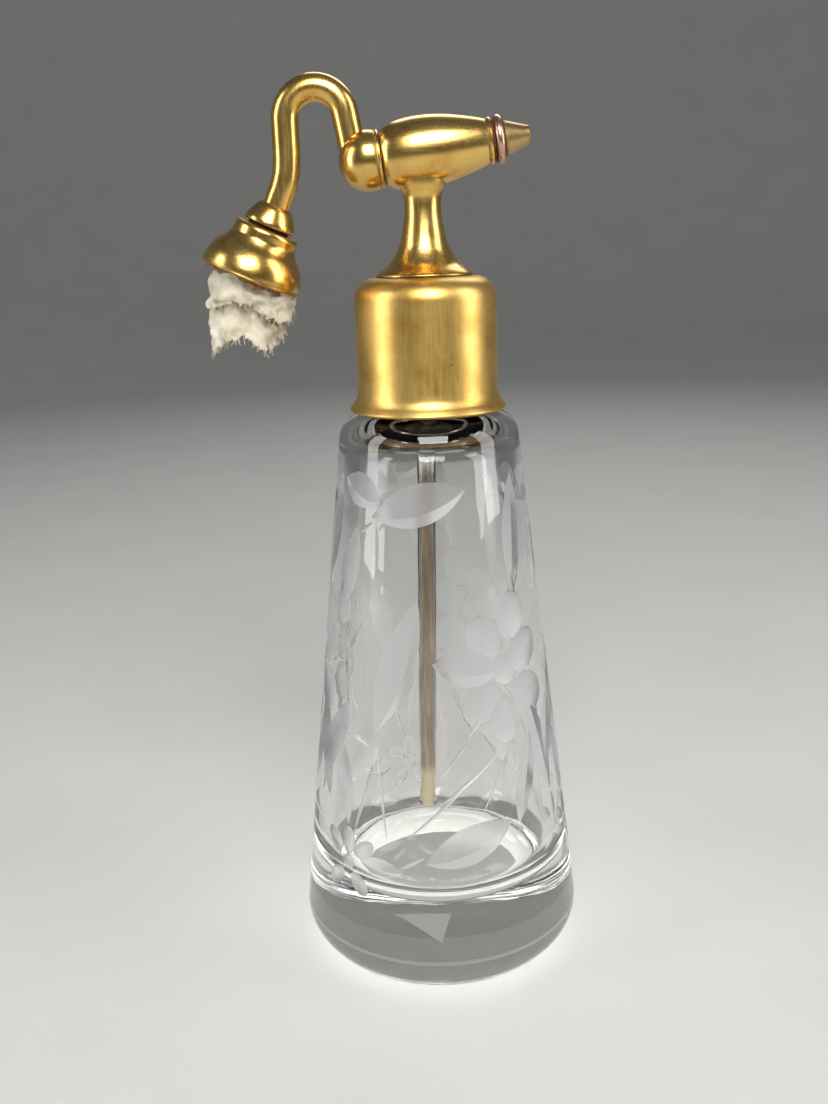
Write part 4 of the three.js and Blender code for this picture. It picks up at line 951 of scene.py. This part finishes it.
class ATOMISER_OT_cover_remnant(bpy.types.Operator):
    """Hangs the two torn layers of the bulb's cotton cover out of the bell, with their frayed threads."""
    bl_idname = "atomiser.cover_remnant"
    bl_label = "Torn cotton cover"

    ROWS, ROUND = 56, 150  # faces down the cloth and round it
    THICKNESS = 0.00042  # of the cloth, in metres

    def line(self, share, drop, sway):
        """A point of the cover's middle line, and its direction: out of the bell, then straight down."""
        start = BELL @ Vector((0, 0, -0.0118))
        out = -BELL_AXIS
        fall = Vector((sway, 0, -1)).normalized()
        steps, at, way = 24, start.copy(), out.copy()
        for i in range(round(share * steps)):
            way = out.lerp(fall, min(1, i / steps * 2.4)).normalized()
            at += way * drop / steps
        part = share * steps - round(share * steps)
        return at + way * (part * drop / steps), way

    def layer(self, name, drop, seed, radii, deep, torn, flare):
        """One layer of cloth: drawn down as a tube, crumpled, and torn off along a ragged line.

        deep is its depth from front to back as a share of its width. flare is how far a flap stands out.
        """
        clear_selection()
        bpy.ops.mesh.primitive_circle_add(vertices=self.ROUND, radius=0.006)
        cloth = bpy.context.object
        cloth.name = cloth.data.name = name
        edit(cloth)
        bpy.ops.mesh.select_all(action="SELECT")
        for _ in range(self.ROWS):
            extrude((0, 0, -drop / self.ROWS))
        bpy.ops.object.mode_set(mode="OBJECT")
        shift = Vector((seed, 2 * seed, 3 * seed))
        for corner in cloth.data.vertices:
            share = min(1, -corner.co.z / drop)
            turn = math.atan2(corner.co.y, corner.co.x)
            at, way = self.line(share, drop, -0.06)
            across = Vector((0, 1, 0))
            side = across.cross(way).normalized()
            wide = radii[0] + (radii[1] - radii[0]) * share
            ring = Vector((math.cos(turn), math.sin(turn), share * drop / 0.008))
            big = noise.noise(ring * 1.1 + shift)
            crumple = noise.noise(Vector((ring.x * 2.2, ring.y * 2.2, share * drop / 0.0021)) + shift)
            fine = noise.noise(Vector((ring.x * 6, ring.y * 6, share * drop / 0.0011)) + 2 * shift)
            ease = min(1, share * 3.2)
            reach = wide + ease * (0.0011 * big + 0.0012 * crumple + 0.00035 * fine)
            slip = ease * 0.0009 * noise.noise(Vector((ring.x * 1.7, ring.y * 1.7, share * 4)) - shift)
            flap = max(0, math.cos(turn - 0.25) - 0.86) * 7 * max(0, share - 0.45) * flare
            reach += flap
            corner.co = (at + side * (reach * math.cos(turn) - 0.0002) + across * (reach * deep * math.sin(turn))
                         + way * slip)
        # tear the cloth off: faces below a ragged line that dips and rises go
        for face in cloth.data.polygons:
            at = face.center
            turn = math.atan2(at.y, at.x + 0.0305)
            edge = torn(turn) + 0.0008 * noise.noise(Vector((math.cos(turn) * 5, math.sin(turn) * 5, seed)))
            edge += 0.0007 * noise.noise(Vector((math.cos(turn) * 17, math.sin(turn) * 17, seed)))
            face.select = at.z < edge
        edit(cloth, "FACE")
        bpy.ops.mesh.delete(type="FACE")
        bpy.ops.object.mode_set(mode="OBJECT")
        return cloth

    def fray(self, name, cloth, count, seed):
        """Loose threads along the torn edge, each a thin curled tube."""
        edit(cloth)
        bpy.ops.mesh.select_all(action="DESELECT")
        bpy.ops.mesh.select_non_manifold(extend=False)
        bpy.ops.object.mode_set(mode="OBJECT")
        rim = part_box("bulb_bell")[0].z
        edge = [v.co.copy() for v in cloth.data.vertices if v.select and v.co.z < rim + 0.001]
        dice = Random(seed)
        middle = sum(edge, Vector()) / len(edge)
        threads = bpy.data.curves.new(name, "CURVE")
        threads.dimensions = "3D"
        threads.bevel_depth, threads.bevel_resolution = 0.00006, 1
        for _ in range(count):
            at = dice.choice(edge).copy()
            away = (at - middle)
            away.z = 0
            away.normalize()
            outward = away * dice.uniform(0.0, 0.7)
            heading = (outward + Vector((dice.uniform(-0.4, 0.4), dice.uniform(-0.4, 0.4), -1))).normalized()
            long = dice.uniform(0.0004, 0.0017)
            spline = threads.splines.new("POLY")
            spline.points.add(5)
            at -= heading * 0.0004
            for i in range(6):
                spline.points[i].co = (*at, 1)
                spline.points[i].radius = 1 - 0.1 * i
                heading = (heading + Vector(dice.uniform(-0.45, 0.45) for _ in range(3))).normalized()
                at = at + heading * long / 5
        piece = bpy.data.objects.new(name, threads)
        bpy.context.scene.collection.objects.link(piece)
        pick(piece)
        bpy.ops.object.convert(target="MESH")
        smooth(piece, 80)
        return piece

    def execute(self, context):
        sizes = context.scene.atomiser_bulb
        cotton = cotton_cloth(tuple(sizes.cotton))
        radius = sizes.cloth_radius

        def long_edge(turn):
            """Height of the long layer's torn edge: a point on the left, a notch, and a lobe on the right."""
            line = [(-1, 114.8), (-0.86, 115.0), (-0.7, 116.0), (-0.25, 116.7), (0.15, 116.2), (0.35, 115.0),
                    (0.5, 114.7), (0.8, 114.7), (0.92, 116.0), (1.01, 117.4)]
            across = math.cos(turn)
            (x, low), (end, high) = next(pair for pair in zip(line, line[1:]) if across <= pair[1][0])
            return (low + (high - low) * (across - x) / (end - x)) * MM + 0.0005 * max(0, math.sin(turn))

        def short_edge(turn):
            """Height of the short layer's torn edge, which hangs lowest on the right."""
            return 0.1214 - 0.0018 * math.cos(turn) + 0.0008 * math.sin(3 * turn)

        inner = self.layer("cover_inner_layer", 0.0195, 3.7, (radius * 0.93, radius * 0.86), 0.86, long_edge, 0)
        outer = self.layer(
            "cover_outer_layer", 0.0135, 11.3, (radius * 1.0, radius * 1.07), 0.92, short_edge, 0.004)
        for cloth, threads, flat in ((inner, 150, (0.04, 0.017)), (outer, 110, (0.043, 0.0112))):
            loose = self.fray(cloth.name + "_threads", cloth, threads, len(cloth.name))
            modify(cloth, "SOLIDIFY", thickness=self.THICKNESS, offset=0)
            modify(cloth, "SUBSURF", levels=1, render_levels=1)
            smooth(cloth, 180)
            deliver(cloth, "bulb_holder", ["bulb_cover_remnant"], "cotton", cotton)
            deliver(loose, "bulb_holder", ["bulb_cover_remnant"], "cotton", cotton)
        return {"FINISHED"}


# ---------------------------------------------------------------- inner pieces, studio


class ATOMISER_OT_inner_pieces(bpy.types.Operator):
    """Gives the pieces inside the head and the bell their finishes."""
    bl_idname = "atomiser.inner_pieces"
    bl_label = "Inner pieces"

    def execute(self, context):
        head = context.scene.atomiser_head
        dull = tarnished_brass(head, "dull_brass")
        finishes = {
            "neck_cement": dry_stuff("plaster", linear("DAD3C2"), linear("B8AD97"), 0.6),
            "neck_washer": dry_stuff("cork", linear("B08A5F"), linear("6E4F31"), 1.1, strength=0.8),
            "collar_liner": dull, "neck_ferrule": dull, "stem_locknut": dull, "riser_tube": dull,
            "dip_tube_gland": dull, "swivel_socket": dull, "jet_block": dull, "liquid_jet": dull,
            "elbow_spigot": dull, "bell_nipple": dull, "bulb_barb": dull,
        }
        for name, finish in finishes.items():
            node = frame["nodes"][name]
            node.data.materials.clear()
            node.data.materials.append(finish)
        return {"FINISHED"}


class ATOMISER_OT_studio(bpy.types.Operator):
    """Lays the pale floor, hangs the soft lights and sets the camera."""
    bl_idname = "atomiser.studio"
    bl_label = "Studio"

    EYE = (0, -0.195, 0.131)  # where the camera is, in metres
    PITCH_YAW_ROLL = (15.51, -0.98, -1.83)  # degrees down, to the side and round
    SENSOR_LENS_NEAR = (36, 35.87, 0.01)  # the camera's own millimetres, and the near limit in metres

    def light(self, name, place, target, size, power, warmth=(1, 1, 1)):
        """A soft rectangular light that faces the target."""
        clear_selection()
        aim = (Vector(target) - Vector(place)).to_track_quat("-Z", "Y").to_euler()
        bpy.ops.object.light_add(type="AREA", location=place, rotation=aim)
        lamp = bpy.context.object
        lamp.name = name
        lamp.data.shape, (lamp.data.size, lamp.data.size_y) = "RECTANGLE", size
        lamp.data.energy, lamp.data.color = power, warmth

    def execute(self, context):
        look = context.scene.atomiser_studio
        piece = begin("floor_sweep")
        draw([(0, 0), (300, 0), (900, 0), *arc(900, 600, 600, -90, 0, 16)[1:], (1500, 2200)])
        bpy.ops.mesh.select_all(action="SELECT")
        bpy.ops.mesh.spin(steps=96, angle=2 * math.pi, center=(0, 0, 0), axis=(0, 0, 1))
        weld()
        smooth(piece, 60)
        material, tree, place = new_material("matt_paper")
        # the paper's surface varies by a hair, in patches of 40 mm
        patch = noisy(tree, place, 40, 3.0)
        tones = ramped(tree, patch, [
            (0.3, tuple(0.96 * c for c in look.floor) + (1,)), (0.7, (*look.floor, 1))])
        shader = add(tree, "ShaderNodeBsdfPrincipled", {"Base Color": tones, "Roughness": 0.75})
        add(tree, "ShaderNodeOutputMaterial", {"Surface": shader.outputs[0]})
        piece.data.materials.clear()
        piece.data.materials.append(material)

        middle = (0, 0, 0.09)
        self.light("key_soft", (0.05, -0.45, 0.5), (0, 0, 0.12), (0.36, 0.3), look.key)
        self.light("left_strip", (-0.5, -0.15, 0.25), middle, (0.16, 0.5), look.key * 0.35)
        self.light("right_strip", (0.5, -0.12, 0.28), middle, (0.2, 0.5), look.key * 0.4)
        self.light("back_top", (0.1, 0.55, 0.6), middle, (0.5, 0.3), look.key * 0.35)

        world = bpy.data.worlds.new("soft_room")
        world.use_nodes = True
        world.node_tree.nodes["Background"].inputs["Color"].default_value = linear("A9ADB3")
        world.node_tree.nodes["Background"].inputs["Strength"].default_value = 0.3
        context.scene.world = world
        context.scene.view_settings.view_transform = "Standard"

        pitch, yaw, roll = (math.radians(a) for a in self.PITCH_YAW_ROLL)
        ahead = Vector((math.sin(yaw) * math.cos(pitch), math.cos(yaw) * math.cos(pitch), -math.sin(pitch)))
        level = Vector((math.cos(yaw), -math.sin(yaw), 0))
        up = level.cross(ahead)
        right = math.cos(roll) * level + math.sin(roll) * up
        above = -math.sin(roll) * level + math.cos(roll) * up
        clear_selection()
        bpy.ops.object.camera_add()
        camera = bpy.context.object
        camera.name = "camera"
        camera.data.sensor_width, camera.data.lens, camera.data.clip_start = self.SENSOR_LENS_NEAR
        basis = Matrix((right, above, -ahead)).transposed().to_4x4()
        camera.matrix_world = Matrix.Translation(self.EYE) @ basis
        context.scene.camera = camera
        return {"FINISHED"}


# ---------------------------------------------------------------- panel, registration, main


OPERATORS = [
    ATOMISER_OT_studio, ATOMISER_OT_bottle, ATOMISER_OT_dip_tube, ATOMISER_OT_collar, ATOMISER_OT_stem,
    ATOMISER_OT_barrel, ATOMISER_OT_nozzle, ATOMISER_OT_gooseneck, ATOMISER_OT_bell, ATOMISER_OT_cover_remnant,
    ATOMISER_OT_inner_pieces]
SIZES = {
    "atomiser_bottle": AtomiserBottleSizes, "atomiser_head": AtomiserHeadSizes,
    "atomiser_bulb": AtomiserBulbSizes, "atomiser_studio": AtomiserStudioLook}


class ATOMISER_PT_panel(bpy.types.Panel):
    """The atomiser's sizes, colours and pieces."""
    bl_idname = "ATOMISER_PT_panel"
    bl_label = "Atomiser"
    bl_space_type = "VIEW_3D"
    bl_region_type = "UI"
    bl_category = "Atomiser"

    def draw(self, context):
        for name, group in SIZES.items():
            box = self.layout.box()
            box.label(text=group.__doc__)
            for key in group.__annotations__:
                box.prop(getattr(context.scene, name), key)
        for operator in OPERATORS:
            self.layout.operator(operator.bl_idname)


def register():
    for item in [*SIZES.values(), *OPERATORS, ATOMISER_PT_panel]:
        bpy.utils.register_class(item)
    for name, group in SIZES.items():
        setattr(bpy.types.Scene, name, bpy.props.PointerProperty(type=group))


def unregister():
    for name in SIZES:
        delattr(bpy.types.Scene, name)
    for item in [ATOMISER_PT_panel, *reversed(OPERATORS), *reversed(SIZES.values())]:
        bpy.utils.unregister_class(item)


def main():
    """Builds the whole atomiser."""
    register()
    bpy.ops.atomiser.studio()
    bpy.ops.atomiser.bottle()
    bpy.ops.atomiser.dip_tube()
    bpy.ops.atomiser.collar()
    bpy.ops.atomiser.stem()
    bpy.ops.atomiser.barrel()
    bpy.ops.atomiser.nozzle()
    bpy.ops.atomiser.gooseneck()
    bpy.ops.atomiser.bell()
    bpy.ops.atomiser.cover_remnant()
    bpy.ops.atomiser.inner_pieces()
    clear_selection()


if __name__ == "__main__":
    main()
